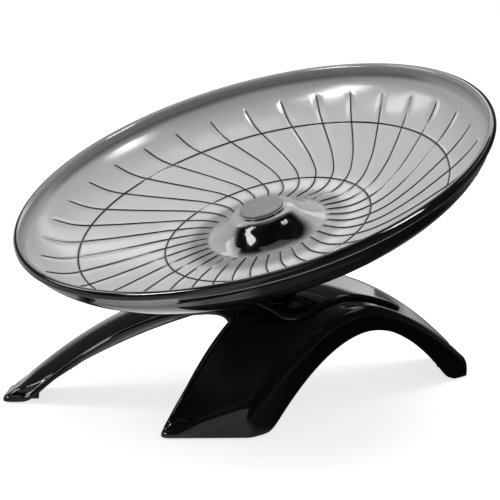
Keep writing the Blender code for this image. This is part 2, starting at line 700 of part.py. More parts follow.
def loft(name, rings, closed):
    """Mesh of quads between rings of equally many points, the last joined to the first."""
    count = len(rings[0])
    points = np.vstack(rings)
    faces = []
    bands = len(rings) if closed else len(rings) - 1
    for band in range(bands):
        here = band * count
        there = (band + 1) % len(rings) * count
        for i in range(count):
            ahead = (i + 1) % count
            faces.append((here + i, there + i, there + ahead, here + ahead))
    mesh = bpy.data.meshes.new(name)
    mesh.from_pydata(points.tolist(), [], faces)
    made = bmesh.new()
    made.from_mesh(mesh)
    bmesh.ops.triangulate(made, faces=made.faces)
    if closed:
        bmesh.ops.recalc_face_normals(made, faces=made.faces)
    made.to_mesh(mesh)
    made.free()
    return mesh


def lifted(places, heights):
    return np.column_stack([places, heights])


def round_ring(places, radius):
    """Circle about the stand's middle with a point at the direction of each place."""
    return places / np.hypot(*places.T)[:, None] * radius


def stand_outline(inset=0.0):
    corners = corners_of(LEFT_FOOT_SHARES, FRONT_WAIST_SHARE, FRONT_LEG_SHARES,
                         RIGHT_FOOT_SHARES, BACK_WAIST_SHARE)
    fillets = [LEFT_FOOT_CORNER, LEFT_FOOT_CORNER, FRONT_WAIST_CORNER, KNEE_CORNER,
               FRONT_TOE_CORNER, FRONT_HEEL_CORNER, RIGHT_FOOT_CORNER, RIGHT_FOOT_CORNER,
               BACK_WAIST_CORNER]
    points, normals, runs, corner_runs, length = rounded_outline(corners, fillets, SHELL_COLUMNS)
    return points - normals * inset, normals, runs, corner_runs, length


def shell_rings(inset, drop, hole):
    """Rings of the stand from its middle hole over the rounded edge to the foot of its wall."""
    outline, normals, runs, corner_runs, length = stand_outline(inset)
    left_end, front_start, front_end, right_start = corner_runs[[1, 4, 5, 6]]
    right_end, left_start = corner_runs[[7, 0]] + [0, length]
    spans = ((left_end, front_start, LEFT_ARCH_PEAK_SHARE, LEFT_ARCH),
             (front_end, right_start, FRONT_ARCH_PEAK_SHARE, FRONT_ARCH),
             (right_end, left_start, BACK_ARCH_PEAK_SHARE, BACK_ARCH))
    low = np.full(len(outline), SHELL_LIFT)
    for start, end, peak, height in spans:
        run = runs - start - FOOT_FLAT
        low += arch(run, end - start - 2 * FOOT_FLAT, peak, height)
    top = np.maximum(crown(outline) - drop, low + SHELL_LEAST_WALL)
    edge = np.minimum(SHELL_EDGE, (top - low) * EDGE_SHARE)
    for _ in range(EDGE_SMOOTHINGS):
        edge = (np.roll(edge, 1) + 2 * edge + np.roll(edge, -1)) / 4
    edge = np.minimum(edge, (top - low) * TIP_EDGE_SHARE)
    rim = outline - normals * edge[:, None]
    rim_top = np.maximum(crown(rim) - drop, top)
    middle = round_ring(outline, hole)
    rings = []
    for share in CROWN_ROW_SHARES:
        places = middle * (1 - share) + rim * share
        height = crown(places) - drop
        rings.append(lifted(places, np.where(share == 1, rim_top, height)))
    for angle in SHELL_EDGE_ANGLES:
        turn = math.radians(angle)
        out = edge * math.sin(turn)
        down = (rim_top - top + edge) * (1 - math.cos(turn))
        rings.append(lifted(rim + normals * out[:, None], rim_top - down))
    rings.append(lifted(outline, low))
    return rings, outline, normals, low


def shell_inside(outline, normals, low):
    """Rings of the stand's inside, from the foot of its wall back to the middle hole.

    The crown is copied straight down by the wall over the cosine of its slope.
    """
    wall = outline - normals * SHELL_WALL
    middle = round_ring(outline, SHELL_HOLE_RADIUS)
    rings = [lifted(wall, low)]
    for share in INSIDE_ROW_SHARES:
        places = middle * (1 - share) + wall * share
        ahead = places * (1 + SLOPE_STEP_SHARE)
        run = np.hypot(*(ahead - places).T)
        slope = (crown(places) - crown(ahead)) / run
        drop = SHELL_WALL * np.minimum(np.sqrt(1 + slope**2), STEEPEST_SHARE)
        rings.append(lifted(places, np.maximum(crown(places) - drop, low + SHELL_LEAST_INSIDE)))
    return rings


def stand_place(x, y, z=0.0):
    return Matrix.Translation((STAND_X + x, STAND_Y + y, z))


def envelope():
    """Solid that ends in the middle of the stand's wall, used to trim what fits inside."""
    half = SHELL_WALL / 2
    rings = shell_rings(half, half, SHELL_HOLE_RADIUS / 2)[0]
    rings[-1][:, 2] = -CUT_OVERRUN
    mesh = loft("stand_envelope", rings, False)
    made = bmesh.new()
    made.from_mesh(mesh)
    bmesh.ops.holes_fill(made, edges=made.edges)
    bmesh.ops.triangulate(made, faces=made.faces)
    bmesh.ops.recalc_face_normals(made, faces=made.faces)
    made.to_mesh(mesh)
    made.free()
    solid = add_cutter("stand_envelope", mesh)
    solid.matrix_local = stand_place(0, 0)
    return solid


def box_mesh(name, length, width, bottom, top):
    mesh = bpy.data.meshes.new(name)
    made = bmesh.new()
    bmesh.ops.create_cube(made, size=1)
    bmesh.ops.scale(made, verts=made.verts, vec=(length, width, top - bottom))
    bmesh.ops.translate(made, verts=made.verts, vec=(0, 0, (top + bottom) / 2))
    made.to_mesh(mesh)
    made.free()
    return mesh


def foot_places():
    """Where each sole and pad lies: along its leg, turned to the leg."""
    places = []
    for angle, share, reach in zip(SOLE_ANGLES, SOLE_SHARES,
                                   (LEFT_REACH, FRONT_REACH, RIGHT_REACH)):
        x, y = along(angle) * reach * share
        places.append(stand_place(x, y) @ Matrix.Rotation(angle, 4, "Z"))
    return places


def screw_places():
    """Where the cover screws stand, and the height of the crown there."""
    places = []
    for angle in COVER_SCREW_ANGLES:
        place = along(angle) * COVER_SCREW_CIRCLE
        places.append((place, float(crown(place[None, :])[0])))
    return places


def stand_shell():
    rings, outline, normals, low = shell_rings(0.0, 0.0, SHELL_HOLE_RADIUS)
    rings += shell_inside(outline, normals, low)
    mesh = loft("stand_shell", rings, True)
    shade(mesh)
    shell = add_object("stand_shell", mesh, BLACK_GLOSS)
    shell.matrix_local = stand_place(0, 0)
    trim = envelope()
    for number, place in enumerate(foot_places()):
        sole = add_cutter(f"sole_{number + 1}", box_mesh("sole", SOLE_LENGTH, SOLE_WIDTH,
                                                         SOLE_BOTTOM,
                                                         SOLE_BOTTOM + SOLE_THICKNESS))
        sole.matrix_local = place
        boolean(sole, trim, "INTERSECT")
        boolean(shell, sole, "UNION")
    for number, (place, height) in enumerate(screw_places()):
        bottom = height - SHELL_WALL - SHELL_BOSS_DROP
        middle = height - SHELL_WALL / 2
        boss = add_cutter(f"shell_boss_{number + 1}",
                          cylinder_mesh("shell_boss", SHELL_BOSS_RADIUS, bottom, middle,
                                        2 * SMALL_SIDES))
        hole = add_cutter(f"shell_hole_{number + 1}",
                          cylinder_mesh("shell_hole", COVER_BOSS_RADIUS + SEAT_GAP,
                                        bottom - CUT_OVERRUN, height + CUT_OVERRUN,
                                        2 * SMALL_SIDES))
        boss.matrix_local = stand_place(*place)
        hole.matrix_local = stand_place(*place)
        boolean(shell, boss, "UNION")
        boolean(shell, hole, "DIFFERENCE")
    return shell


def neck_rings(directions, base_places, base_heights, top_radius, top_height, lean, shares):
    """Rings of the flared neck from a level base ring up to a ring square to the spindle.

    A quarter turn of a circle leads each point: inwards by its sine, upwards by one less its
    cosine, so the flare starts flat on the cover and ends along the spindle.
    """
    local = np.column_stack([directions * top_radius, np.full(len(directions), top_height)])
    matrix = np.array(lean)
    tops = local @ matrix[:3, :3].T + matrix[:3, 3]
    tops[:, 0] -= STAND_X
    tops[:, 1] -= STAND_Y
    rings = []
    for share in shares:
        turn = share * math.pi / 2
        inwards = math.sin(turn)
        upwards = 1 - math.cos(turn)
        places = base_places * (1 - inwards) + tops[:, :2] * inwards
        heights = base_heights * (1 - upwards) + tops[:, 2] * upwards
        rings.append(lifted(places, heights))
    return rings


def top_cover(lean):
    """Cover over the stand's crown: three pointed, stepped at its edge, with the neck."""
    corners = corners_of(COVER_LEFT_SHARES, COVER_FRONT_WAIST_SHARE, COVER_FRONT_SHARES,
                         COVER_RIGHT_SHARES, COVER_BACK_WAIST_SHARE)
    fillets = [COVER_CORNER, COVER_CORNER, COVER_WAIST_CORNER, COVER_FRONT_CORNER,
               COVER_FRONT_CORNER, COVER_RIGHT_CORNER, COVER_RIGHT_CORNER, COVER_WAIST_CORNER]
    outline, normals = rounded_outline(corners, fillets, COVER_COLUMNS)[:2]
    directions = round_ring(outline, 1.0)
    rise = SEAT_GAP + COVER_THICKNESS
    inner_base = NECK_BASE_RADIUS - COVER_THICKNESS
    rings = [lifted(outline, crown(outline) + SEAT_GAP)]
    for angle in COVER_EDGE_ANGLES:
        turn = math.radians(angle)
        places = outline - normals * COVER_EDGE * (1 - math.cos(turn))
        rings.append(lifted(places, crown(places) + rise - COVER_EDGE * (1 - math.sin(turn))))
    rim = outline - normals * COVER_EDGE
    base = directions * NECK_BASE_RADIUS
    halfway = (rim + base) / 2
    rings.append(lifted(halfway, crown(halfway) + rise))
    rings += neck_rings(directions, base, crown(base) + rise, NECK_TOP_RADIUS, NECK_TOP, lean,
                        NECK_ROW_SHARES)
    bore = THREAD_RADIUS + SEAT_GAP
    rings += neck_rings(directions, base, crown(base), bore, NECK_TOP, lean, (1.0,))
    rings += neck_rings(directions, base, crown(base), bore, NECK_PLATE_BOTTOM, lean, (1.0,))
    inside = directions * inner_base
    rings += neck_rings(directions, inside, crown(inside) + SEAT_GAP,
                        NECK_TOP_RADIUS - COVER_THICKNESS, NECK_PLATE_BOTTOM, lean,
                        NECK_ROW_SHARES[::-2])
    rings.append(lifted(halfway, crown(halfway) + COVER_RELIEF))
    for inset, gap in ((2 * COVER_LIP, COVER_RELIEF), (COVER_LIP, SEAT_GAP)):
        places = outline - normals * inset
        rings.append(lifted(places, crown(places) + gap))
    mesh = loft("top_cover", rings, True)
    shade(mesh)
    cover = add_object("top_cover", mesh, BLACK_GLOSS)
    cover.matrix_local = stand_place(0, 0)
    for number, (place, height) in enumerate(screw_places()):
        bottom = height - SHELL_WALL - SHELL_BOSS_DROP + BOSS_RECESS
        middle = height + SEAT_GAP + COVER_THICKNESS / 2
        boss = add_cutter(f"cover_boss_{number + 1}",
                          cylinder_mesh("cover_boss", COVER_BOSS_RADIUS, bottom, middle,
                                        2 * SMALL_SIDES))
        hole = add_cutter(f"cover_pilot_{number + 1}",
                          cylinder_mesh("cover_pilot", PILOT_RADIUS, bottom - CUT_OVERRUN,
                                        bottom + COVER_SCREW_LENGTH, SMALL_SIDES))
        boss.matrix_local = stand_place(*place)
        hole.matrix_local = stand_place(*place)
        boolean(cover, boss, "UNION")
        boolean(cover, hole, "DIFFERENCE")
    return cover


def cover_screws():
    for number, (place, height) in enumerate(screw_places()):
        seat = height - SHELL_WALL - SHELL_BOSS_DROP - SEAT_GAP
        screw(f"cover_screw_{number + 1}", COVER_SCREW_LENGTH, COVER_SCREW_HEAD_RADIUS, STEEL,
              None, stand_place(place[0], place[1], seat))


def foot_pads():
    """Pads under the soles, with their four upright edges rounded."""
    for number, place in enumerate(foot_places()):
        pad = add_object(f"foot_pad_{number + 1}",
                         box_mesh("foot_pad", PAD_LENGTH, PAD_WIDTH, 0, PAD_TOP), RUBBER)
        pad.matrix_local = place
        weights = pad.data.attributes.new("bevel_weight_edge", "FLOAT", "EDGE")
        for line in pad.data.edges:
            first, last = (pad.data.vertices[i].co for i in line.vertices)
            weights.data[line.index].value = float(abs(first.z - last.z) > SMALL_BEVEL)
        edge = pad.modifiers.new("edge", "BEVEL")
        edge.width = PAD_EDGE
        edge.segments = 3
        edge.limit_method = "WEIGHT"


def build():
    spin = bpy.data.objects.new("spin_axis", None)
    PIECES.objects.link(spin)
    lean = (Matrix.Translation((STAND_X - SEAT_SHIFT_X, STAND_Y - SEAT_SHIFT_Y, SEAT_HEIGHT))
            @ Matrix.Rotation(FRONT_LEAN, 4, "X") @ Matrix.Rotation(-LEFT_LEAN, 4, "Y"))
    spin.matrix_world = lean
    pivot = bpy.data.objects.new("pivot_axis", None)
    PIECES.objects.link(pivot)
    pivot.matrix_world = lean
    bpy.context.view_layer.update()
    saucer_dish(spin)
    hub_sleeve(spin)
    bushing("lower_bushing", LOWER_BUSHING_TOP, 1, spin)
    bushing("upper_bushing", UPPER_BUSHING_SEAT, -1, spin)
    hub_cap(spin)
    hub_screws(spin)
    spindle(pivot)
    spindle_nut(pivot)
    washer("spindle_lock_washer", THREAD_RADIUS + SEAT_GAP, LOCK_WASHER_RADIUS,
           LOCK_WASHER_TOP - LOCK_WASHER, LOCK_WASHER, MEDIUM_SIDES, STEEL, pivot)
    washer("thrust_washer", SPINDLE_RADIUS + SEAT_GAP, THRUST_WASHER_RADIUS, THRUST_BOTTOM,
           THRUST_WASHER, MEDIUM_SIDES, ACETAL, pivot)
    washer("retaining_washer", SPINDLE_RADIUS + SEAT_GAP, RETAINING_WASHER_RADIUS,
           RETAINING_WASHER_SEAT, RETAINING_WASHER, MEDIUM_SIDES, STEEL, pivot)
    retaining_ring(pivot)
    stand_shell()
    top_cover(lean)
    cover_screws()
    foot_pads()


build()
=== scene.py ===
# %% [markdown]
# # A saucer wheel for a small pet
# A shallow dish of smoked clear plastic spins on a leaning spindle over a glossy black stand. This
# lesson dresses the wheel: the wide, polished skins are drawn again as fine numpy surfaces from the
# same sizes as the solids, so that their reflections run smoothly, and every piece gets the finish
# of its real plastic, steel or rubber. Small turned pieces keep their solids.

import json
import math

import bmesh
import bpy
import numpy as np
from mathutils import Matrix, Vector


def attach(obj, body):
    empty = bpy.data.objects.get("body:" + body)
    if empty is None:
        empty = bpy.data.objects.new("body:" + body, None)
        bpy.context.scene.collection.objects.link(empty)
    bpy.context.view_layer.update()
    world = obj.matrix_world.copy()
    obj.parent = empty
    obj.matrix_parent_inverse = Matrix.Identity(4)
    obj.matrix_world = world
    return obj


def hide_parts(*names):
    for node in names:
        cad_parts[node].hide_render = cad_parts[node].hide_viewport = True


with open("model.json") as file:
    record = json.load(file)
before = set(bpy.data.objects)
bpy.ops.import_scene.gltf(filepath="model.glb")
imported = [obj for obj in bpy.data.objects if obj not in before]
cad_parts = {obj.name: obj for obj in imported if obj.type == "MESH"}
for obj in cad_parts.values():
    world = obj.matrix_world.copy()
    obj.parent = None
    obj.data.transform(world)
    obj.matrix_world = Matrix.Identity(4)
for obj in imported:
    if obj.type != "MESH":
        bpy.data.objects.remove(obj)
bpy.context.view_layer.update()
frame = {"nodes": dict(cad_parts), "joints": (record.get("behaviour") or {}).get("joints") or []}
spin = frame["joints"][0]
print("solids:", len(frame["nodes"]), "joint:", spin["name"])

# %% [markdown]
# ## The two places that everything is drawn in
# The wheel's pieces are turned about the spindle, so they are worked out upright, with the
# underside of the dish's floor at height zero, and then leaned. The stand is worked out about its
# own middle on the floor. One small function for each moves an array of points into the frame.

# %% Lean of the spindle and middle of the stand
FRONT_LEAN = math.radians(14.45)
LEFT_LEAN = math.radians(14.85)
LEAN = np.array(Matrix.Rotation(FRONT_LEAN, 3, "X") @ Matrix.Rotation(-LEFT_LEAN, 3, "Y"))
SEAT = np.array(spin["pos_m"])
STAND_MIDDLE = np.array([0.0257, 0.0202, 0.0])


def leaned(points):
    """Points of the upright wheel, turned by the lean and moved to the spindle's seat."""
    return points @ LEAN.T + SEAT


print("spindle axis", np.round(LEAN[:, 2], 3), "joint axis", np.round(spin["axis"], 3))

# %% [markdown]
# ## Turning a grid of points into a mesh
# Every new skin is a grid: rows run along a profile and columns run round it. A mesh needs the
# points and, for each little square, the four points at its corners. Both are plain arrays, and
# Blender takes whole arrays at once, which is far quicker than adding faces one by one.

# %% Grid to mesh
SAME_PLACE = 0.000001


def grid_piece(name, points, body, nodes, closed_rows=True, facing=1, shares=None,
               poles=False):
    """A smooth mesh from points in rows and columns, where columns close round.

    The square at row i and column j has the corners (i, j), (i+1, j), (i+1, j+1) and (i, j+1).
    Rows close too on a skin that has a thickness. A facing of -1 turns every square over, for
    rows that run the other way round. Shares are named values for each point. Where a row lies
    in one point, at a pole, its points are joined into one.
    """
    rows, columns = points.shape[:2]
    last = rows if closed_rows else rows - 1
    i, j = np.meshgrid(np.arange(last), np.arange(columns), indexing="ij")
    down, ahead = (i + 1) % rows, (j + 1) % columns
    corners = [i * columns + j, down * columns + j, down * columns + ahead, i * columns + ahead]
    squares = np.stack(corners[::facing], axis=-1).reshape(-1, 4)
    mesh = bpy.data.meshes.new(name)
    mesh.vertices.add(rows * columns)
    mesh.vertices.foreach_set("co", points.astype(np.float32).ravel())
    mesh.loops.add(squares.size)
    mesh.loops.foreach_set("vertex_index", squares.astype(np.int32).ravel())
    mesh.polygons.add(len(squares))
    mesh.polygons.foreach_set("loop_start", np.arange(0, squares.size, 4, dtype=np.int32))
    for label, values in (shares or {}).items():
        layer = mesh.attributes.new(label, "FLOAT", "POINT")
        layer.data.foreach_set("value", values.astype(np.float32).ravel())
    mesh.update(calc_edges=True)
    if poles:
        merging = bmesh.new()
        merging.from_mesh(mesh)
        bmesh.ops.remove_doubles(merging, verts=merging.verts, dist=SAME_PLACE)
        merging.to_mesh(mesh)
        merging.free()
    mesh.validate()
    mesh.shade_smooth()
    piece = bpy.data.objects.new(name, mesh)
    bpy.context.scene.collection.objects.link(piece)
    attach(piece, body)
    if nodes:
        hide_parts(*nodes)
    print(name, rows, "x", columns, "points,", 2 * len(squares), "triangles")
    return piece


# %% [markdown]
# ## Smooth lines through a few sizes
# The dish's section and the sweep of its ribs are known at a few places. A cubic through them,
# leaving each place with the mean slope of its two neighbours, gives a line without corners.


# %% Smooth line
def smooth_through(places, at):
    """Height at each place in the array of a chain of cubics through (x, y) places.

    A cubic from place to place is fixed by both heights and both slopes, and each slope is the
    mean of the slopes of the two straight lines that meet there.
    """
    xs, ys = np.array(places, dtype=float).T
    chords = np.diff(ys) / np.diff(xs)
    slopes = np.concatenate([chords[:1], (chords[:-1] + chords[1:]) / 2, chords[-1:]])
    k = np.clip(np.searchsorted(xs, at) - 1, 0, len(xs) - 2)
    width = xs[k + 1] - xs[k]
    t = (at - xs[k]) / width
    return ((2 * t**3 - 3 * t**2 + 1) * ys[k] + (t**3 - 2 * t**2 + t) * width * slopes[k]
            + (3 * t**2 - 2 * t**3) * ys[k + 1] + (t**3 - t**2) * width * slopes[k + 1])


def stretch(start, end, count):
    """Points evenly along the straight line from start to end, without the end itself."""
    share = np.linspace(0, 1, count, endpoint=False)[:, None]
    return np.array(start) * (1 - share) + np.array(end) * share


def bend(middle, radius, first, last, count):
    """Points evenly round an arc about a middle, from one angle in degrees to another."""
    turn = np.radians(np.linspace(first, last, count))
    return np.array(middle) + radius * np.column_stack([np.cos(turn), np.sin(turn)])


# %% [markdown]
# ## Section of the dish
# The dish is one moulding: a bell in the middle that drops over the hub, a floor that rises into
# a steep wall, and a round bead along the rim. Its section is a closed line, down the bell and
# outwards over the floor, round the bead and back along the underside, 2 mm away. The heights are
# known at a few places, each written as two shares: of the way out, and of the whole height.

# %% Dish sizes
DISH_RADIUS = 0.1524
DISH_DEPTH = 0.0445
WALL = 0.0020
BEAD = 0.00275
FLOOR_TOP = WALL
RIM_TOP = FLOOR_TOP + DISH_DEPTH
BELL_HEIGHT = 0.0146
BELL_TOP = FLOOR_TOP + BELL_HEIGHT
BELL_TOP_RADIUS = 0.0154
BELL_CORNER = 0.0012
BELL_BORE = 0.0125
CAVITY_CORNER = 0.0010
RIBS_START_SHARE, RIBS_END_SHARE = 0.25, 0.92
WALL_END_SHARE = 0.958
RING_SHARES = (0.436, 0.780)
RIB_HALF = 0.0009
WALL_SHARES = ((0.25, 0.025), (0.37, 0.0), (0.49, 0.042), (0.61, 0.144), (0.73, 0.281),
               (0.82, 0.400), (0.88, 0.523), (0.94, 0.702), (1.0, 1.0))
BELL_SHARES = ((0.0, 0.95), (0.2, 0.86), (0.4, 0.60), (0.7, 0.29), (1.0, 0.085))
print("dish", DISH_RADIUS * 2000, "mm across, rim", round(RIM_TOP * 1000, 1), "mm up")

# %% Section of the dish
FLANK_ROWS, INSIDE_ROWS, UNDER_ROWS, BEAD_ROWS = 21, 84, 44, 22
RING_ACROSS_SHARES = np.array([-1, -0.72, -0.5, -0.25, 0, 0.25, 0.5, 0.72, 1])
RING_ROOM = 1.3
BEAD_FROM, BEAD_TO = 196, -88
CORNER_FROM, CORNER_TO = 90, 25


def on_wall(shares):
    """Points of the floor and the wall at shares of the radius: height = depth x its share."""
    return np.column_stack([DISH_RADIUS * shares,
                            FLOOR_TOP + DISH_DEPTH * smooth_through(WALL_SHARES, shares)])


def inside_shares():
    """Shares of the radius over the floor and wall: even steps, and nine across each ring rib."""
    half = RIB_HALF / DISH_RADIUS
    rings = np.concatenate([ring + RING_ACROSS_SHARES * half for ring in RING_SHARES])
    plain = np.linspace(RIBS_START_SHARE, WALL_END_SHARE, INSIDE_ROWS)
    away = np.min(np.abs(plain[:, None] - np.array(RING_SHARES)), axis=1)
    return np.sort(np.concatenate([plain[away > RING_ROOM * half], rings]))


def moved_under(line, gap):
    """The same line moved by the gap to its right side, square to its own slope."""
    slope = np.gradient(line, axis=0)
    length = np.hypot(*slope.T)[:, None]
    return line + gap * np.column_stack([slope[:, 1], -slope[:, 0]]) / length


def dish_section():
    """Closed section as (radius, height) rows, rows before the ribbed ones, and ribbed rows.

    The lines in their order: the bell's top, corner and flank, the floor and wall, the bead, the
    underside, and the bell's cavity with its ceiling. The corner is an arc, pressed flat so that
    it fits between the top and the flank.
    """
    foot = DISH_RADIUS * RIBS_START_SHARE
    out = np.linspace(0, 1, FLANK_ROWS, endpoint=False)
    flank = np.column_stack([BELL_TOP_RADIUS + (foot - BELL_TOP_RADIUS) * out,
                             FLOOR_TOP + BELL_HEIGHT * smooth_through(BELL_SHARES, out)])
    shoulder = (BELL_TOP_RADIUS - BELL_CORNER, BELL_TOP)
    top = stretch((BELL_BORE, BELL_TOP), shoulder, 3)
    corner = bend((shoulder[0], 0), BELL_CORNER, CORNER_FROM, CORNER_TO, 4)
    corner[:, 1] = flank[0, 1] + corner[:, 1] * (BELL_TOP - flank[0, 1]) / BELL_CORNER
    inside = on_wall(inside_shares())
    bead = bend((DISH_RADIUS - BEAD, RIM_TOP - BEAD), BEAD, BEAD_FROM, BEAD_TO, BEAD_ROWS)
    wall = on_wall(np.linspace(RIBS_START_SHARE, WALL_END_SHARE, UNDER_ROWS))
    under = moved_under(wall, WALL)[::-1]
    end = (BELL_BORE, BELL_TOP - WALL)
    ceiling = stretch((shoulder[0] - CAVITY_CORNER, end[1]), end, 3)
    cavity = moved_under(np.vstack([flank, wall[:2]]), WALL)[:-2][::-1]
    cavity = cavity[cavity[:, 0] > ceiling[0, 0]]
    before = np.vstack([top, corner, flank])
    rows = np.vstack([before, inside, bead, under, cavity, ceiling, [end]])
    return rows, len(before), len(inside)


section, first_ribbed, ribbed_count = dish_section()
print("dish section rows:", len(section), "of which on the floor and wall:", ribbed_count)

# %% [markdown]
# ## The ribbed dish
# Thirty-four fine ribs sweep outwards over the floor and two ring ribs cross them, so that small
# feet grip. Their sweep, the angle that a rib has turned through at each radius, is known at a few
# places. The columns of the grid follow it, and crowd together where a rib stands, so a thin rib
# costs few faces. The height of a rib is a rounded bump. The same bump is kept as a share on each
# point, which the finish later reads to paint the ribs dark, as painted shade. Other shares tell
# the finish which side of the dish a point is on, and where it paints shade and light.


# %% Bump and ease
def bump(t):
    """Height over a rib: the square of a cosine across it, one at the crest, nought at its feet."""
    return np.where(np.abs(t) < 1, np.cos(np.clip(t, -1, 1) * math.pi / 2) ** 2, 0)


def eased(x, low, high):
    """From nought at low to one at high along an S-shaped cubic."""
    t = np.clip((x - low) / (high - low), 0, 1)
    return t * t * (3 - 2 * t)


print("rib height halfway down its side:", round(float(bump(0.5)), 2))

# %% Dish with its ribs
RIB_COUNT = 34
RIB_HEIGHT = 0.0010
RIB_RISE_SHARE = 0.012
RIB_ACROSS_SHARES = np.array([-1, -0.74, -0.52, -0.26, 0, 0.26, 0.52, 0.74, 1])
BETWEEN_SHARES = np.array([0.2, 0.5, 0.8])
SWEEP_FROM, SWEEP_BY = math.radians(35.7), math.radians(25.8)
SWEEP_SHARES = ((0.08, 0.40), (0.25, 0.10), (0.34, 0.0), (0.46, 0.167), (0.58, 0.457),
                (0.70, 0.717), (0.82, 0.907), (0.92, 1.0), (1.0, 1.07))


def ribbed_dish():
    """Grid of the dish, and the height over its skin as a share of a whole rib.

    Angle = sweep of the ribs at this radius + start of this rib + a place across its pitch.
    """
    radius = section[:, 0][:, None]
    share = np.clip(radius / DISH_RADIUS, SWEEP_SHARES[0][0], 1)
    sweep = SWEEP_FROM + SWEEP_BY * smooth_through(SWEEP_SHARES, share)
    pitch = 2 * math.pi / RIB_COUNT
    half = RIB_HALF / np.maximum(radius, DISH_RADIUS * RIBS_START_SHARE / 2)
    across = half * RIB_ACROSS_SHARES[None, :]
    between = half + (pitch - 2 * half) * BETWEEN_SHARES[None, :]
    one = np.concatenate([across, between], axis=1)
    start = pitch * np.arange(RIB_COUNT)[None, :, None]
    angle = (sweep[:, :, None] + start + one[:, None, :]).reshape(len(section), -1)
    beyond = np.full(len(BETWEEN_SHARES), 2.0)
    t = np.tile(np.concatenate([RIB_ACROSS_SHARES, beyond]), RIB_COUNT)[None, :]
    row = np.arange(len(section))[:, None]
    on_inside = (row >= first_ribbed) & (row < first_ribbed + ribbed_count)
    runs = eased(share, RIBS_START_SHARE, RIBS_START_SHARE + RIB_RISE_SHARE)
    runs *= eased(share, RIBS_END_SHARE, RIBS_END_SHARE - RIB_RISE_SHARE)
    ring = sum(bump((share - place) * DISH_RADIUS / RIB_HALF) for place in RING_SHARES)
    rib = np.maximum(bump(t) * runs, ring) * on_inside
    height = section[:, 1][:, None] + RIB_HEIGHT * rib
    upright = np.stack([radius * np.cos(angle), radius * np.sin(angle), height], axis=-1)
    return leaned(upright), rib


dish_points, rib_share = ribbed_dish()
print("ribbed points:", int((rib_share > 0).sum()), "of", rib_share.size)

# %% Sides of the dish
BELL_CLEAR = (0.034, 0.040)
# Radii over which the painted shade round the bell fades out.
HUB_PAINTED_SHADE = (0.046, 0.056)
WALL_SHADE_SHARES = (0.80, 0.97)
BEAD_INNER_ROWS = 8


def side_shares():
    """Named values for each point, by its row and radius.

    Floor and under rise from nought to one where the clear bell ends, on the upper side and on
    the outside. Wall rises towards the rim, hub falls away from the bell and marks the painted
    shade round it, and bead is one on the bead's inner rows. Below is the way along the section
    from the bead's last row, in mm, which places the painted bands on the outside.
    """
    radius = section[:, 0][:, None] + 0 * rib_share
    row = np.arange(len(section))[:, None]
    bead_start = first_ribbed + ribbed_count
    outside = row >= bead_start + BEAD_INNER_ROWS
    run = np.concatenate([[0], np.cumsum(np.hypot(*np.diff(section, axis=0).T))])[:, None]
    below = 1000 * (run - run[bead_start + BEAD_ROWS - 1]) * outside
    on_inside = (row >= first_ribbed) & (row < bead_start)
    return {"rib": rib_share,
            "floor": (row < bead_start) * eased(radius, *BELL_CLEAR),
            "wall": eased(radius / DISH_RADIUS, *WALL_SHADE_SHARES),
            "under": outside * eased(radius, *BELL_CLEAR),
            "below": below + 0 * radius,
            "hub": (1 - eased(radius, *HUB_PAINTED_SHADE)) * on_inside,
            "bead": ((row >= bead_start) & ~outside) + 0 * radius}


dish_shares = side_shares()
dish = grid_piece("dish_skin", dish_points, "wheel", ["saucer_dish"],
                  shares=dish_shares)

# %% [markdown]
# ## Hub: the cap and the black sleeve
# A grey cap plugs the bell, and through the clear bell shows the black sleeve that turns on the
# spindle. The sleeve is a cup on a wide, flat foot, with a pocket below for its bearings. Both are
# turned on a lathe in effect: a section of radius and height, carried round the spindle. The edges
# that show get a small radius, because moulded plastic has no sharp edge. Where a flat stretch of
# the sleeve runs into such an edge, its line has that place twice, so that the smooth shading of
# the edge doesn't spread over the flat.

# %% Turned pieces and the cap
TURNED_COLUMNS = 96


def turned(name, line, node, closed=True, poles=False):
    """A section carried round the spindle: x = radius cos a, y = radius sin a, z = height."""
    angle = np.linspace(0, 2 * math.pi, TURNED_COLUMNS, endpoint=False)[None, :]
    radius, height = line[:, 0][:, None], line[:, 1][:, None]
    upright = np.stack([radius * np.cos(angle), radius * np.sin(angle), height + 0 * angle], -1)
    return grid_piece(name, leaned(upright), "wheel", [node], closed, poles=poles)


GAP = 0.0003
CAP_SEAT = BELL_TOP + GAP
CAP_RADIUS = 0.0140
CAP_TOP = CAP_SEAT + 0.0013
CAP_EDGE = 0.0006
STUB = BELL_BORE - GAP
STUB_INSIDE = STUB - 0.0015
STUB_END = CAP_SEAT - 0.0052
cap_line = np.vstack([
    stretch((0, CAP_TOP), (CAP_RADIUS - CAP_EDGE, CAP_TOP), 8),
    bend((CAP_RADIUS - CAP_EDGE, CAP_TOP - CAP_EDGE), CAP_EDGE, 90, 0, 6),
    [(CAP_RADIUS, CAP_SEAT), (STUB, CAP_SEAT), (STUB, STUB_END),
     (STUB_INSIDE, STUB_END), (STUB_INSIDE, CAP_SEAT), (0, CAP_SEAT)],
])
cap = turned("hub_cap_skin", cap_line, "hub_cap", closed=False, poles=True)

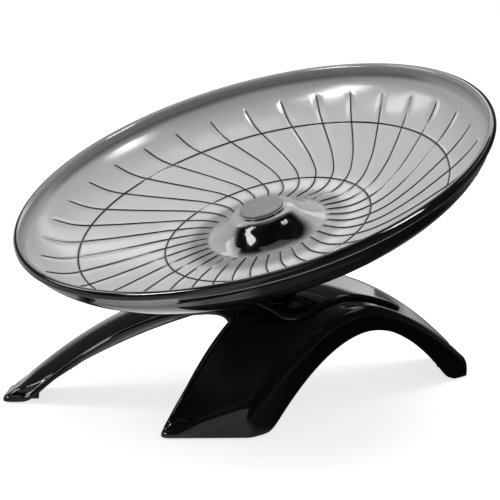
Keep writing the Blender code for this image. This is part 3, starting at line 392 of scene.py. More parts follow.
# %% Sleeve
SLEEVE_RADIUS = 0.0140
SLEEVE_BORE = 0.00606
SLEEVE_EDGE = 0.0004
SLEEVE_TOP = BELL_TOP - WALL - 0.0004
RIM_START = SLEEVE_TOP - SLEEVE_EDGE
CUP_FLOOR = 0.0080
FLANGE, FLANGE_EDGE = 0.0300, 0.0005
FLANGE_TOP, FLANGE_BOTTOM = -0.0003, -0.0027
FOOT_CURVE = 0.0045
FOOT_TOP = FLANGE_TOP + FOOT_CURVE
POCKET, POCKET_TOP = 0.0120, 0.0058
BEARING_WALL = 0.0085
sleeve_line = np.vstack([
    [(SLEEVE_BORE, CUP_FLOOR), (BELL_BORE, CUP_FLOOR), (BELL_BORE, RIM_START)],
    bend((BELL_BORE + SLEEVE_EDGE, RIM_START), SLEEVE_EDGE, 180, 90, 4),
    bend((SLEEVE_RADIUS - SLEEVE_EDGE, RIM_START), SLEEVE_EDGE, 90, 0, 4),
    stretch((SLEEVE_RADIUS, SLEEVE_TOP - 1.5 * SLEEVE_EDGE), (SLEEVE_RADIUS, FOOT_TOP), 6),
    bend((SLEEVE_RADIUS + FOOT_CURVE, FOOT_TOP), FOOT_CURVE, 180, 270, 10),
    [(FLANGE - FLANGE_EDGE, FLANGE_TOP)],
    bend((FLANGE - FLANGE_EDGE, FLANGE_TOP - FLANGE_EDGE), FLANGE_EDGE, 90, 0, 4),
    [(FLANGE, FLANGE_BOTTOM), (POCKET, FLANGE_BOTTOM), (POCKET, POCKET_TOP),
     (BEARING_WALL, POCKET_TOP), (BEARING_WALL, FLANGE_BOTTOM), (SLEEVE_BORE, FLANGE_BOTTOM)],
])
sleeve = turned("hub_sleeve_skin", sleeve_line, "hub_sleeve")

# %% [markdown]
# ## Plan of the stand
# Seen from above the stand is a polygon with rounded corners: two at each foot, one at the waist
# on each side of the left leg, and one at the front leg's shoulder. A round corner is an arc that
# touches both sides. The points are then spread evenly along the whole line, and each gets the
# direction that points out of the stand.

# %% Rounded outlines
LEG_ANGLES = np.radians([180.5, -99.8, 9.2])
LEG_REACHES = np.array([0.1788, 0.1159, 0.1347])
WAIST = 0.060
ARC_POINTS = 25
STAND_POINTS, COVER_POINTS = 560, 300


def rounded_outline(corners, fillets, count):
    """Even points along a rounded polygon: points, outward ways, runs, corner runs, length.

    The middle of each arc lies on the line that halves the corner, at fillet / sin(half the
    corner), and the arc starts and ends at fillet / tan(half the corner) along both sides.
    """
    corners = np.array(corners)
    back = np.roll(corners, 1, axis=0) - corners
    ahead = np.roll(corners, -1, axis=0) - corners
    back /= np.hypot(*back.T)[:, None]
    ahead /= np.hypot(*ahead.T)[:, None]
    half = np.arccos(np.clip((back * ahead).sum(axis=1), -1, 1)) / 2
    bisector = (back + ahead) / np.hypot(*(back + ahead).T)[:, None]
    fillets = np.array(fillets)[:, None]
    middle = corners + bisector * fillets / np.sin(half)[:, None]
    first = corners + back * fillets / np.tan(half)[:, None] - middle
    last = corners + ahead * fillets / np.tan(half)[:, None] - middle
    start = np.arctan2(first[:, 1], first[:, 0])
    sweep = (np.arctan2(last[:, 1], last[:, 0]) - start + math.pi) % (2 * math.pi) - math.pi
    turn = start[:, None] + sweep[:, None] * np.linspace(0, 1, ARC_POINTS)[None, :]
    fine = middle[:, None] + fillets[:, None] * np.stack([np.cos(turn), np.sin(turn)], axis=-1)
    fine = fine.reshape(-1, 2)
    closed = np.vstack([fine, fine[:1]])
    run = np.concatenate([[0], np.cumsum(np.hypot(*np.diff(closed, axis=0).T))])
    wanted = np.linspace(0, run[-1], count, endpoint=False)
    points = np.stack([np.interp(wanted, run, closed[:, axis]) for axis in (0, 1)], axis=1)
    tangent = np.roll(points, -1, axis=0) - np.roll(points, 1, axis=0)
    tangent /= np.hypot(*tangent.T)[:, None]
    outward = np.column_stack([tangent[:, 1], -tangent[:, 0]])
    corner_runs = run[ARC_POINTS // 2::ARC_POINTS][:len(corners)]
    return points, outward, wanted, corner_runs, run[-1]


def corners_of(left, front_waist, front, right, back_waist):
    """Corners round the stand: each is a pair of shares times a leg's reach, or the waist."""
    left_reach, front_reach, right_reach = LEG_REACHES
    groups = ((left_reach, left), (WAIST, [front_waist]), (front_reach, front),
              (right_reach, right), (WAIST, [back_waist]))
    return np.vstack([reach * np.array(shares) for reach, shares in groups])


STAND_CORNERS = corners_of(((-0.981, -0.015), (-0.990, -0.173)), (-0.426, -0.618),
                           ((-0.461, -0.617), (-0.689, -0.880), (-0.175, -0.871)),
                           ((0.913, 0.206), (0.909, 0.586)), (0.096, 0.848))
STAND_FILLETS = (0.0051, 0.0051, 0.0089, 0.0353, 0.0051, 0.0101, 0.0057, 0.0057, 0.027)
LEFT_END, FRONT_START, FRONT_END, RIGHT_START, RIGHT_END, LEFT_START = 1, 4, 5, 6, 7, 0
stand_plan = rounded_outline(STAND_CORNERS, STAND_FILLETS, STAND_POINTS)
print("stand outline", round(stand_plan[4] * 1000), "mm round")

# %% [markdown]
# ## Crown of the stand
# The three legs fall away from one crown. Along a leg the height is lost with a power of the
# distance, so the crown is broad on top and steep at the foot, and each leg's share fades with
# the angle from the leg. One formula gives the height anywhere, which keeps the skin seamless.

# %% Crown
CROWN_HEIGHT = 0.0705
CROWN_NARROW = 1.05
CROWN_POWER = 2.19
ARCH_POWER = 1.89


def crown(places):
    """Height = crown's height x (1 - the sum over the legs of a leg's share ** power).

    A leg's share is the distance x cos(narrowing x angle from the leg) / the leg's reach.
    """
    distance = np.hypot(places[..., 0], places[..., 1])[..., None]
    direction = np.arctan2(places[..., 1], places[..., 0])[..., None]
    away = (direction - LEG_ANGLES + math.pi) % (2 * math.pi) - math.pi
    away = np.clip(away * CROWN_NARROW, -math.pi / 2, math.pi / 2)
    legs = (distance * np.cos(away) / LEG_REACHES) ** CROWN_POWER
    return CROWN_HEIGHT * (1 - legs.sum(axis=-1))


def arch(run, length, peak, height):
    """Rise of the lower edge between two feet = height x (1 - far ** power).

    Far is nought at the peak and one at both feet, and grows evenly along the outline.
    """
    inside = (run > 0) & (run < length)
    share = np.where(inside, run / length, 0)
    far = np.where(share < peak, (peak - share) / peak, (share - peak) / (1 - peak))
    return np.where(inside, height * (1 - far**ARCH_POWER), 0)


def softened(values, spread):
    """A closed line of values, each blurred with its neighbours by a bell curve, by FFT."""
    place = np.fft.fftfreq(len(values)) * len(values)
    weight = np.exp(-0.5 * (place / spread) ** 2)
    return np.real(np.fft.ifft(np.fft.fft(values) * np.fft.fft(weight / weight.sum())))


def joined(places, heights):
    """Points from places on the floor and heights above them, moved to the stand's middle."""
    return np.concatenate([places, heights[..., None]], axis=-1) + STAND_MIDDLE


print("crown", round(float(crown(np.zeros(2))) * 1000, 1), "mm high")

# %% [markdown]
# ## Shell of the stand
# The stand is a hollow moulding. Its skin runs from a hole under the cover over the crown, round
# a soft edge and down the wall to the arches, then back up inside, 3 mm away. Each of these is a
# set of rows between the hole and the outline, and they are stacked into one closed grid.

# %% Lower edge with the arches
FOOT_FLAT = 0.016
FOOT_LEVEL = 0.0010
ARCHES = ((LEFT_END, FRONT_START, 0.632, 0.0579), (FRONT_END, RIGHT_START, 0.504, 0.0470),
          (RIGHT_END, LEFT_START, 0.407, 0.0475))
ARCH_BLUR_SHARE = 1 / 250


def lower_edge():
    """Height of the edge at each point of the outline: the feet's level + the arches' rise."""
    runs, corner_runs, length = stand_plan[2:]
    low = FOOT_LEVEL + 0 * runs
    for first, last, peak, height in ARCHES:
        start = corner_runs[first] + FOOT_FLAT
        span = (corner_runs[last] - corner_runs[first]) % length - 2 * FOOT_FLAT
        low += arch(runs - start, span, peak, height)
    return softened(low, ARCH_BLUR_SHARE * len(low))


print("highest arch", round(lower_edge().max() * 1000, 1), "mm")

# %% Stand shell
CROWN_ROWS, EDGE_ROWS, SIDE_ROWS, BACK_ROWS = 40, 11, 8, 26
SHELL = 0.0030
SHELL_STEEPEST = 1.9
HOLE = 0.0235
EDGE = 0.0060
EDGE_BLUR_SHARE = 2 / 74
EDGE_SHARES = (0.6, 0.85)
LIFT_SHARES = (0.85, 1.0)
LEAST_WALL = 0.0035
LEDGE = 0.0010


def under_crown(places):
    """Height = the crown's - shell x square root of (1 + slope ** 2), or its steepest at most.

    The slope is measured over a step of a hundredth of the way out.
    """
    step = 0.01
    ahead = crown(places * (1 + step))
    slope = (crown(places) - ahead) / (step * np.hypot(places[..., 0], places[..., 1]))
    return crown(places) - SHELL * np.minimum(np.sqrt(1 + slope**2), SHELL_STEEPEST)


def stand_rows():
    """Rows over the crown, round its edge, down the wall, along the ledge and back inside.

    Round the edge, outwards grows with the sine of the turn and the fall with 1 - its cosine.
    The edge is as wide as given, or a share of the wall where that is low.
    """
    outline, outward = stand_plan[:2]
    low = lower_edge()
    top = np.maximum(crown(outline), low + LEAST_WALL)
    edge = np.minimum(EDGE, (top - low) * EDGE_SHARES[0])
    edge = np.minimum(softened(edge, EDGE_BLUR_SHARE * len(edge)), (top - low) * EDGE_SHARES[1])
    rim = outline - outward * edge[:, None]
    rim_top = np.maximum(crown(rim), top)
    hole = outline / np.hypot(*outline.T)[:, None] * HOLE
    share = np.linspace(0, 1, CROWN_ROWS)[:, None, None]
    places = hole * (1 - share) + rim * share
    heights = crown(places)
    heights += (rim_top - heights[-1]) * eased(share[..., 0], *LIFT_SHARES)
    over = joined(places, heights)
    turn = np.radians(np.linspace(0, 90, EDGE_ROWS))[1:, None]
    around = joined(rim + outward * (edge * np.sin(turn))[..., None],
                    rim_top - (rim_top - top + edge) * (1 - np.cos(turn)))
    fall = np.linspace(0, 1, SIDE_ROWS)[1:, None]
    down = joined(outline + 0 * fall[..., None], around[-1, :, 2] * (1 - fall) + low * fall)
    inner = outline - outward * SHELL
    back = np.linspace(1, 0, BACK_ROWS)[:, None, None]
    under = hole * (1 - back) + inner * back
    inside = joined(under, np.maximum(under_crown(under), low + LEDGE))
    ledge = joined(inner[None], low[None])
    return np.concatenate([over, around, down, ledge, inside])


stand = grid_piece("stand_skin", stand_rows(), "stand", ["stand_shell"])

# %% [markdown]
# ## Soles and bosses inside the stand
# Seen from below, each foot is closed by a flat sole that carries a rubber pad, and three short
# tubes take the screws of the cover. In the mould they are one piece with the shell. A sole
# reaches as far as its box or the middle of the stand's wall, whichever is nearer in each
# direction.

# %% Soles
SOLE_BOTTOM, SOLE_LEAST, SOLE_TOP = 0.0029, 0.0035, 0.0054
SOLE_ROWS, SOLE_COLUMNS = 8, 96
NOT_NOUGHT = 0.000001
# Angle, share of the leg's reach, half size outwards and half size across.
SOLES = ((185.3, 0.927, 0.010, 0.033), (-116.2, 0.837, 0.010, 0.033),
         (23.5, 0.909, 0.006, 0.010))


def reach_inside(middle, ways, line):
    """Distance from a middle along each way to the nearest side of a closed line of points.

    Way w meets the side from p to p + s at the distance (p - middle) x s / (w x s).
    """
    start = line - middle
    side = np.roll(line, -1, axis=0) - line
    cross = ways[:, :1] * side[:, 1] - ways[:, 1:] * side[:, 0]
    away = (start[:, 0] * side[:, 1] - start[:, 1] * side[:, 0]) / cross
    along_side = (start[:, 0] * ways[:, 1:] - start[:, 1] * ways[:, :1]) / cross
    met = (along_side >= 0) & (along_side <= 1) & (away > 0)
    return np.where(met, away, np.inf).min(axis=1)


def foot_sole(number, angle, share, *half):
    """Flat plate in a foot, at an angle and a share of the leg's reach, with two half sizes.

    Its rows run from the middle outwards on top, and back underneath. Along each way it reaches
    the side of its box, at half size / cosine or half size / sine, or the stand's wall.
    """
    turn = math.radians(angle)
    middle = LEG_REACHES[number - 1] * share * np.array([math.cos(turn), math.sin(turn)])
    around = np.linspace(0, 2 * math.pi, SOLE_COLUMNS, endpoint=False)
    box = np.array(half) / np.maximum(np.abs([np.cos(around), np.sin(around)]), NOT_NOUGHT).T
    ways = np.column_stack([np.cos(around + turn), np.sin(around + turn)])
    wall = stand_plan[0] - SHELL / 2 * stand_plan[1]
    out = np.minimum(box.min(axis=1), reach_inside(middle, ways, wall))
    flat = middle + ways * out[:, None] * np.linspace(0, 1, SOLE_ROWS)[:, None, None]
    roof = np.clip(crown(flat) - SHELL / 2, SOLE_LEAST, SOLE_TOP)
    under = joined(flat[::-1], np.full(flat.shape[:2], SOLE_BOTTOM))
    return grid_piece(f"foot_sole_{number}", np.concatenate([joined(flat, roof), under]), "stand",
                      [], closed_rows=False, poles=True)


soles = [foot_sole(number, *place) for number, place in enumerate(SOLES, 1)]

# %% Bosses
BOSS_OUTER, BOSS_HOLE = 0.0068, 0.0041
BOSS_CIRCLE = 0.0330
BOSS_LENGTH, BOSS_EDGE = 0.0045, 0.0003
BOSS_ANGLES = (-42, 103, -143)
BOSS_COLUMNS = 48


def screw_boss(number, angle):
    """Upright tube under the crown: a line of radii and heights, carried round its own middle."""
    turn = math.radians(angle)
    middle = BOSS_CIRCLE * np.array([math.cos(turn), math.sin(turn)])
    top = float(crown(middle)) - SHELL / 2
    bottom = top - BOSS_LENGTH
    around = np.linspace(0, 2 * math.pi, BOSS_COLUMNS, endpoint=False)
    ways = np.column_stack([np.cos(around), np.sin(around)])
    line = np.array([(BOSS_OUTER, top), (BOSS_OUTER, bottom + BOSS_EDGE),
                     (BOSS_OUTER - BOSS_EDGE, bottom), (BOSS_HOLE, bottom), (BOSS_HOLE, top)])
    points = joined(middle + ways * line[:, :1, None], line[:, 1:] + 0 * around)
    return grid_piece(f"screw_boss_{number}", points, "stand", [])


bosses = [screw_boss(number, angle) for number, angle in enumerate(BOSS_ANGLES, 1)]

# %% [markdown]
# ## Cover on the stand
# A second, thinner moulding lies on the crown. Its stepped edge throws the dark line that shows in
# front of the right leg. From its middle rises the neck, which starts flat on the cover and turns
# up along the leaning spindle: a quarter of a circle, inwards by its sine, upwards by one less its
# cosine, between a level ring at the bottom and a leaning ring at the top.

# %% Cover with its neck
COVER_CORNERS = corners_of(((-0.475, 0.050), (-0.475, -0.078)), (-0.354, -0.529),
                           ((-0.062, -0.387), (0.035, -0.518)),
                           ((0.600, 0.069), (0.503, 0.215)), (0.033, 0.725))
COVER_FILLETS = (0.009, 0.009, 0.022, 0.0144, 0.0144, 0.0164, 0.0164, 0.022)
COVER_ROWS = {"edge": 9, "roof": 14, "flare": 26, "inside": 10}
COVER_RISE = GAP + 0.0028
COVER_EDGE = 0.0018
COVER_LIP = 0.0025
NECK_TOP = -0.0089
NECK_WEB = 0.0030
NECK_FOOT, NECK_RADIUS = 0.0270, 0.0130
HOLLOW_FOOT, HOLLOW_RADIUS = 0.0242, 0.0102
NECK_BORE = 0.0033


def neck(directions, base, base_height, top_radius, top_height, turns):
    """Rows from a level ring to a leaning ring along a quarter turn of a circle.

    Place = base x (1 - sine) + top x sine, and height = base x cosine + top x (1 - cosine).
    """
    local = np.column_stack([directions * top_radius, np.full(len(directions), top_height)])
    tops = leaned(local) - STAND_MIDDLE
    turn = (turns * math.pi / 2)[:, None]
    inward, upward = np.sin(turn), 1 - np.cos(turn)
    places = base * (1 - inward[..., None]) + tops[:, :2] * inward[..., None]
    return joined(places, base_height * (1 - upward) + tops[:, 2] * upward)


def cover_rows():
    """Rows up the stepped edge, over the roof, up the neck, down its bore and back inside.

    The edge is a quarter circle like the stand's, and the roof lies evenly over the crown.
    """
    outline, outward = rounded_outline(COVER_CORNERS, COVER_FILLETS, COVER_POINTS)[:2]
    directions = outline / np.hypot(*outline.T)[:, None]
    turn = np.radians(np.linspace(0, 90, COVER_ROWS["edge"]))[:, None]
    around = outline - outward * (COVER_EDGE * (1 - np.cos(turn)))[..., None]
    edge = joined(around, crown(around) + COVER_RISE - COVER_EDGE * (1 - np.sin(turn)))
    foot = joined(outline[None], crown(outline)[None] + GAP)
    rim = outline - outward * COVER_EDGE
    base = directions * NECK_FOOT
    share = np.linspace(0, 1, COVER_ROWS["roof"])[1:-1, None, None]
    top = rim * (1 - share) + base * share
    roof = joined(top, crown(top) + COVER_RISE)
    flare = neck(directions, base, crown(base) + COVER_RISE, NECK_RADIUS, NECK_TOP,
                 np.linspace(0, 1, COVER_ROWS["flare"]))
    bores = [neck(directions, base, crown(base), NECK_BORE, height, np.array([1.0]))
             for height in (NECK_TOP, NECK_TOP - NECK_WEB)]
    inner = directions * HOLLOW_FOOT
    inside = neck(directions, inner, crown(inner) + GAP, HOLLOW_RADIUS, NECK_TOP - NECK_WEB,
                  np.linspace(1, 0, COVER_ROWS["inside"]))
    lip = outline - outward * COVER_LIP
    under = joined(lip[None], crown(lip)[None] + GAP)
    return np.concatenate([foot, edge, roof, flare, *bores, inside, under])


cover = grid_piece("cover_skin", cover_rows(), "stand", ["top_cover"], facing=-1)

# %% [markdown]
# ## Finishes: colour and nodes
# Colours are written as they look on a screen and turned to linear light by one function. Another
# small function adds a node, so that each finish below reads as a short recipe. Patterns use the
# Object coordinates, in metres, so a scale of 1000 divided by a size in millimetres fits them.


# %% Colour and nodes
def linear(colour):
    """Linear red, green, blue and alpha of an sRGB hex colour, by the standard's two-part curve."""
    shares = [int(colour[i:i + 2], 16) / 255 for i in (1, 3, 5)]
    return (*[s / 12.92 if s <= 0.04045 else ((s + 0.055) / 1.055) ** 2.4 for s in shares], 1.0)


def add(tree, kind, inputs=(), **settings):
    """Adds a node with its settings, and gives back its outputs.

    Inputs are values, or the sockets that feed them, by name or in the node's own order. So a
    Map Range takes a value, the two ends that it comes from and the two that it goes to, and a
    Mix Shader takes the second shader's share, the first shader and the second.
    """
    node = tree.nodes.new("ShaderNode" + kind)
    for label, value in settings.items():
        setattr(node, label, value)
    for socket, value in inputs.items() if isinstance(inputs, dict) else enumerate(inputs):
        if isinstance(value, bpy.types.NodeSocket):
            tree.links.new(value, node.inputs[socket])
        else:
            node.inputs[socket].default_value = value
    return node.outputs


def layered(tree, colour, layers):
    """A colour under others, laid on in turn: each = old x (1 - share) + new x share."""
    for share, upper in layers:
        colour = add(tree, "Mix", {"Factor": share, "A": colour, "B": upper},
                     data_type="RGBA")["Result"]
    return colour


# %% Finishes and their wear
NOISE_LOW, NOISE_HIGH = 0.35, 0.65


def new_finish(name, colour, **sockets):
    """A material with one Principled shader, whose colour and plain sockets are set by name."""
    finish = bpy.data.materials.new(name)
    finish.use_nodes = True
    shader = finish.node_tree.nodes["Principled BSDF"]
    shader.inputs["Base Color"].default_value = linear(colour)
    for label, value in sockets.items():
        shader.inputs[label].default_value = value
    return finish, finish.node_tree, shader


def wear(finish, cloud_mm, low, high, grain_mm, relief_mm):
    """Links a cloudy roughness from low to high, and a faint unevenness, to a finish's shader.

    The cloud is noise, which lies mostly between 0.35 and 0.65, laid on the span low to high.
    """
    _, tree, shader = finish
    place = add(tree, "TexCoord")["Object"]
    cloud = add(tree, "TexNoise", {"Vector": place, "Scale": 1000 / cloud_mm, "Detail": 3.0})
    rough = add(tree, "MapRange", (cloud["Fac"], NOISE_LOW, NOISE_HIGH, low, high))["Result"]
    tree.links.new(rough, shader.inputs["Roughness"])
    grain = add(tree, "TexNoise", {"Vector": place, "Scale": 1000 / grain_mm, "Detail": 2.0})
    relief = add(tree, "Bump", {"Height": grain["Fac"], "Strength": 1.0,
                                "Distance": relief_mm / 1000})["Normal"]
    tree.links.new(relief, shader.inputs["Normal"])


def put_on(finish, pieces):
    """Gives a finish to new pieces, and to solids that are named."""
    for piece in pieces:
        piece = frame["nodes"][piece] if isinstance(piece, str) else piece
        piece.data.materials.clear()
        piece.data.materials.append(finish[0])
    print(finish[0].name, "on", len(pieces))


# %% [markdown]
# ## Smoked clear plastic
# The dish is transparent polystyrene with a smoke grey tint, moulded in a polished tool: a bright
# gloss, a soft grey body, and ribs painted dark, a painted shade for the light that is lost in
# them.
# The outside is painted dark, as painted shade under the same plastic that is light inside, with
# one painted highlight line under the bead, where light that ran through the plastic comes out, and
# a lighter painted band under the floor near the bell. Over the hub the plastic is clearer: dark
# where the eye looks straight through it at the sleeve, and painted light on the bell's skirt,
# which is seen edge-on: a painted reflection that follows the angle of view. A film of grey in
# front of a clear shader gives this without tracing bent rays through a thin wall.

# %% Smoked polystyrene: colours
# From and to, in mm below the bead, and the colour from there on: a painted highlight line at the
# bead's foot, painted shade down the wall, and a lighter painted band under the floor.
OUTSIDE_LIGHT_AND_SHADE_BANDS = ((-1.0, -0.4, "#C8C8C8"), (0.6, 1.2, "#141414"), (44, 60, "#8A8A8A"))
# Facing over which the bell's skirt gets its painted reflection.
SKIRT_SHEEN_FACING = (0.31, 0.42)
# Span of the rib share over which the ribs are painted dark, as painted shade.
RIB_PAINTED_SHADE = (0.15, 0.45)

smoke = new_finish("smoked_polystyrene_polished", "#BEBEBE", IOR=1.59)
tree, shader = smoke[1:]
point = {label: add(tree, "Attribute", attribute_name=label)["Fac"] for label in dish_shares}
facing = add(tree, "LayerWeight", {"Blend": 0.5})["Facing"]
# The bell's skirt is painted lighter where it is seen edge-on: a painted reflection, by the angle
# of view.
skirt_sheen = add(tree, "MapRange", (facing, *SKIRT_SHEEN_FACING))["Result"]
# The ribs are painted near black: a painted shade for the light that they lose.
ribs = add(tree, "MapRange", (point["rib"], *RIB_PAINTED_SHADE))["Result"]
inner = add(tree, "Math", (point["floor"], point["bead"]), operation="MAXIMUM")["Value"]
# Inside: a slightly darker wall, painted shade round the bell for its shadow and the dark flange
# showing through, and a darker bead.
inside = layered(tree, linear("#BEBEBE"), [(point["wall"], linear("#B8B8B8")),
                                           (point["hub"], linear("#8C8C8C")),
                                           (point["bead"], linear("#8C8C8C"))])
bands = [(add(tree, "MapRange", (point["below"], start, end))["Result"], linear(colour))
         for start, end, colour in OUTSIDE_LIGHT_AND_SHADE_BANDS]
# The outside is painted near black as painted shade, and the painted bands are laid on it.
outside = layered(tree, linear("#0C0C0C"), bands)
# Bell near black, its skirt with a painted reflection, the inside, the outside in painted shade,
# ribs painted dark.
skin = layered(tree, linear("#0E0E0E"), [(skirt_sheen, linear("#B8B8B8")), (inner, inside),
                                         (point["under"], outside), (ribs, linear("#0A0A0A"))])
tree.links.new(skin, shader.inputs["Base Color"])
print("bands on the outside:", len(bands), "shares read:", len(point))

# %% Smoked polystyrene: gloss and film
BELL_GLOSS, FLOOR_GLOSS = 0.07, 0.20
BELL_FILM, SKIRT_FILM, BODY_FILM = 0.50, 0.80, 0.96

gloss = add(tree, "MapRange", (point["floor"], 0, 1, BELL_GLOSS, FLOOR_GLOSS))["Result"]
tree.links.new(gloss, shader.inputs["Roughness"])
body = add(tree, "Math", (inner, point["under"]), operation="MAXIMUM")["Value"]
thin = add(tree, "MapRange", (skirt_sheen, 0, 1, BELL_FILM, SKIRT_FILM))["Result"]
film = add(tree, "Mix", {"Factor": body, "A": thin, "B": BODY_FILM})["Result"]
clear = add(tree, "BsdfTransparent", {"Color": linear("#C8C8C8")})["BSDF"]
plastic = add(tree, "MixShader", (film, clear, shader.outputs["BSDF"]))["Shader"]
tree.links.new(plastic, tree.nodes["Material Output"].inputs["Surface"])
put_on(smoke, [dish])

# %% [markdown]
# ## Glossy black moulding
# The stand and its cover are black ABS out of a mirror-polished tool. The eye gets almost no
# colour, only reflections: so the colour is nearly black, the roughness is very low, and a faint
# unevenness about a centimetre across bends the reflections as moulded skins do. The sleeve is
# the same plastic turned to a satin skin, so its highlights are softer.

# %% Black ABS
black = new_finish("black_abs_mirror_moulded", "#0B0B0C", IOR=1.53)
wear(black, 40, 0.03, 0.08, 9, 0.02)
put_on(black, [stand, cover, *soles, *bosses])

black_hub = new_finish("black_abs_satin_turned", "#0C0C0D", IOR=1.53)
wear(black_hub, 12, 0.08, 0.16, 3, 0.01)
put_on(black_hub, [sleeve])

# %% [markdown]
# ## Grey cap, steel, acetal and rubber
# The cap is grey ABS with a fine satin, so it takes light softly. The spindle, its nut, washers
# and ring are turned steel: bright, with soft reflections. The screws are zinc plated, which looks
# greyer and more clouded. The bearings are turned from acetal, which looks white and a little
# waxy, and the pads are moulded rubber, black and quite dull. Real tool marks and grit are finer
# than half a millimetre and wouldn't show, so each grain is drawn about as coarse as that.

# %% Small pieces
SCREWS = [f"{place}_screw_{number}" for place in ("hub", "cover") for number in (1, 2, 3)]

grey = new_finish("grey_abs_satin_moulded", "#7E7E7E", IOR=1.53)
wear(grey, 8, 0.30, 0.42, 0.6, 0.015)
put_on(grey, [cap])

steel = new_finish("steel_turned_bright", "#B4B4B6", Metallic=1.0)
wear(steel, 2, 0.22, 0.34, 0.4, 0.01)
put_on(steel, ["pivot_spindle", "spindle_nut", "spindle_lock_washer", "retaining_washer",
               "retaining_ring"])

zinc = new_finish("steel_zinc_plated", "#9FA2A6", Metallic=1.0)
wear(zinc, 1.5, 0.28, 0.45, 0.5, 0.01)
put_on(zinc, SCREWS)

acetal = new_finish("acetal_white_turned", "#E6E5DF", IOR=1.48)
wear(acetal, 3, 0.38, 0.5, 0.5, 0.01)
put_on(acetal, ["lower_bushing", "upper_bushing", "thrust_washer"])

rubber = new_finish("rubber_black_moulded", "#1C1C1C", IOR=1.5)
wear(rubber, 3, 0.65, 0.85, 0.7, 0.05)
put_on(rubber, ["foot_pad_1", "foot_pad_2", "foot_pad_3"])

# %% [markdown]
# ## Floor
# The wheel stands on a white sweep that takes its shadow. The glossy black would mirror all of
# that white, so mirrors see another floor: bright far behind the wheel and beside the left leg,
# half as bright in front, and dark to the right, as under a studio's lamps. Each of these is a
# fade along one axis, and two fades that cross are multiplied.

# %% Floor
FLOOR_HALF = 6.0
FLOOR_LIFT = 0.75
PURE_WHITE = (1, 1, 1, 1)
FLOOR_FADES = {
    "behind": ("Y", 0.10, 0.40, 0.02, 1.0), "right": ("X", 0.10, 0.22, 1.0, 0.12),
    "left": ("X", -0.01, -0.04, 0.0, 1.0), "far_left": ("X", -0.07, -0.12, 1.0, 0.45),
    "front": ("Y", -0.06, -0.09, 0.0, 0.5), "near_right": ("X", 0.01, 0.03, 1.0, 0.2),
}

sheet = bpy.data.meshes.new("studio_floor")
corners = [(x * FLOOR_HALF, y * FLOOR_HALF, 0) for x, y in ((-1, -1), (1, -1), (1, 1), (-1, 1))]
sheet.from_pydata(corners, [], [(0, 1, 2, 3)])
floor = bpy.data.objects.new("studio_floor", sheet)
bpy.context.scene.collection.objects.link(floor)
print("floor", 2 * FLOOR_HALF, "m wide")

# %% White paper for the floor
paper = bpy.data.materials.new("paper_white_matt")
paper.use_nodes = True
tree = paper.node_tree
tree.nodes.clear()
place = add(tree, "TexCoord")["Object"]
ground = add(tree, "SeparateXYZ", (place,))
fades = {name: add(tree, "MapRange", (ground[axis], *span))["Result"]
         for name, (axis, *span) in FLOOR_FADES.items()}
crossed = [add(tree, "Math", (fades[one], fades[other]), operation="MULTIPLY")["Value"]
           for one, other in (("behind", "right"), ("left", "far_left"), ("front", "near_right"))]
nearby = add(tree, "Math", crossed[1:], operation="MAXIMUM")["Value"]
bright = add(tree, "Math", (crossed[0], nearby), operation="MAXIMUM")["Value"]
rays = add(tree, "LightPath")
matt = add(tree, "BsdfDiffuse", {"Color": linear("#C8C8C8")})["BSDF"]
lift = add(tree, "Emission", (PURE_WHITE, FLOOR_LIFT))["Emission"]
shown = add(tree, "AddShader", (matt, lift))["Shader"]
mirrored = add(tree, "Emission", (PURE_WHITE, bright))["Emission"]
lit = add(tree, "MixShader", (rays["Is Glossy Ray"], matt, mirrored))["Shader"]
seen = add(tree, "MixShader", (rays["Is Camera Ray"], lit, shown))["Shader"]
add(tree, "OutputMaterial", (seen,))
floor.data.materials.append(paper)
print(paper.name, "with", len(fades), "fades for mirrors")

# %% [markdown]
# ## Room
# To the camera the room is pure white, and it lights the colours a little under half as much.
# Mirrors see one bright band, low behind the wheel and to its left, that fades upwards and to the
# right. Three fades along the direction of view are multiplied for it, and a little is added
# everywhere.

# %% Room
ROOM_FADES = (("Y", -0.2, 0.3, 0.0, 1.0), ("Z", 0.14, 0.27, 1.0, 0.05),
              ("X", 0.15, 0.55, 1.0, 0.04))
ROOM_LEAST = 0.03
ROOM_LIGHT = 0.45

world = bpy.data.worlds.new("studio_room")
world.use_nodes = True
bpy.context.scene.world = world
tree = world.node_tree
tree.nodes.clear()
view = add(tree, "SeparateXYZ", (add(tree, "TexCoord")["Generated"],))
glow = 1.0
for axis, *span in ROOM_FADES:
    fade = add(tree, "MapRange", (view[axis], *span))["Result"]
    glow = add(tree, "Math", (glow, fade), operation="MULTIPLY")["Value"]
glow = add(tree, "Math", (glow, ROOM_LEAST), operation="ADD")["Value"]
rays = add(tree, "LightPath")
room, fill, white = [add(tree, "Background", (PURE_WHITE, strength))["Background"]
                     for strength in (glow, ROOM_LIGHT, 1.0)]
soft = add(tree, "MixShader", (rays["Is Glossy Ray"], fill, room))["Shader"]
seen = add(tree, "MixShader", (rays["Is Camera Ray"], soft, white))["Shader"]
add(tree, "OutputWorld", (seen,))
print(world.name, "with", len(ROOM_FADES), "fades for mirrors")

# %% [markdown]
# ## Lamps
# Two flat lamps light the colours and are hidden from mirrors. The others do nothing but stand in
# the mirrors as windows and panels, and each draws one of the long highlights on the black.

# %% Lamps
WHEEL_MIDDLE = Vector((0, 0, 0.1))
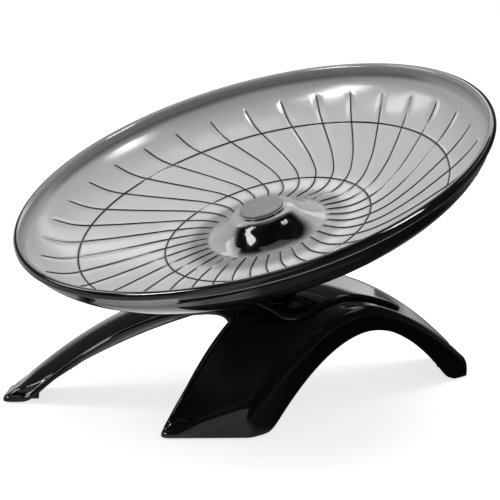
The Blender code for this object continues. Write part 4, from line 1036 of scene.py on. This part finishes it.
# Name, bearing and rise in degrees, distance, width and height in metres, and watts.
LIGHTS = (("top_box", 27, 81, 1.42, 1.2, 1.2, 15),
          ("left_fill", -80, 37, 1.5, 0.5, 0.9, 6))
WINDOWS = (("left_window", -106, 44, 1.4, 0.28, 0.5, 10),
           ("right_window", 125, 55, 1.4, 0.34, 0.6, 11),
           ("front_window", -166, 14, 1.3, 1.1, 1.1, 2.0),
           ("left_panel", -65, 40, 1.4, 0.35, 0.5, 3),
           ("high_window", -5, 60, 1.4, 0.6, 0.35, 0.35),
           ("right_high", 62, 45, 1.4, 0.9, 0.4, 0.7),
           ("back_window", 10, 43, 1.6, 1.2, 0.25, 2.4),
           ("ceiling_window", -71, 76, 1.4, 0.5, 0.5, 1.2))


def flat_lamp(name, bearing, rise, away, width, height, watts):
    """A flat lamp that looks at the wheel from a bearing and a rise, in degrees, and a distance.

    The bearing is nought behind the wheel and grows to the right. Its -Z points at the wheel.
    """
    lamp = bpy.data.lights.new(name, "AREA")
    lamp.shape = "RECTANGLE"
    lamp.size, lamp.size_y, lamp.energy = width, height, watts
    box = bpy.data.objects.new(name, lamp)
    turn, tip = math.radians(bearing), math.radians(rise)
    way = Vector((math.sin(turn) * math.cos(tip), math.cos(turn) * math.cos(tip), math.sin(tip)))
    box.location = WHEEL_MIDDLE + away * way
    box.rotation_euler = (-way).to_track_quat("-Z", "Y").to_euler()
    bpy.context.scene.collection.objects.link(box)
    print(name, "at", np.round(box.location, 2), "m,", watts, "W")
    return box


for lamp_sizes in LIGHTS:
    flat_lamp(*lamp_sizes).visible_glossy = False
for lamp_sizes in WINDOWS:
    flat_lamp(*lamp_sizes).visible_diffuse = False

# %% [markdown]
# ## Camera
# The camera stands a metre in front, 78 degrees from looking straight down. Its place and lens
# were worked out from the rim's ellipse and the ribs.

# %% Camera
CAMERA_PLACE = (0.00456, -0.97216, 0.30280)
CAMERA_TILT = math.radians(78)
SENSOR_MM, LENS_MM = 36.0, 115.12
eye = bpy.data.cameras.new("camera")
eye.sensor_width = SENSOR_MM
eye.lens = LENS_MM
camera = bpy.data.objects.new("camera", eye)
camera.location = CAMERA_PLACE
camera.rotation_euler = (CAMERA_TILT, 0, 0)
bpy.context.scene.collection.objects.link(camera)
bpy.context.scene.camera = camera
bpy.context.scene.view_settings.view_transform = "Standard"
print("camera lens", LENS_MM, "mm, at", CAMERA_PLACE)
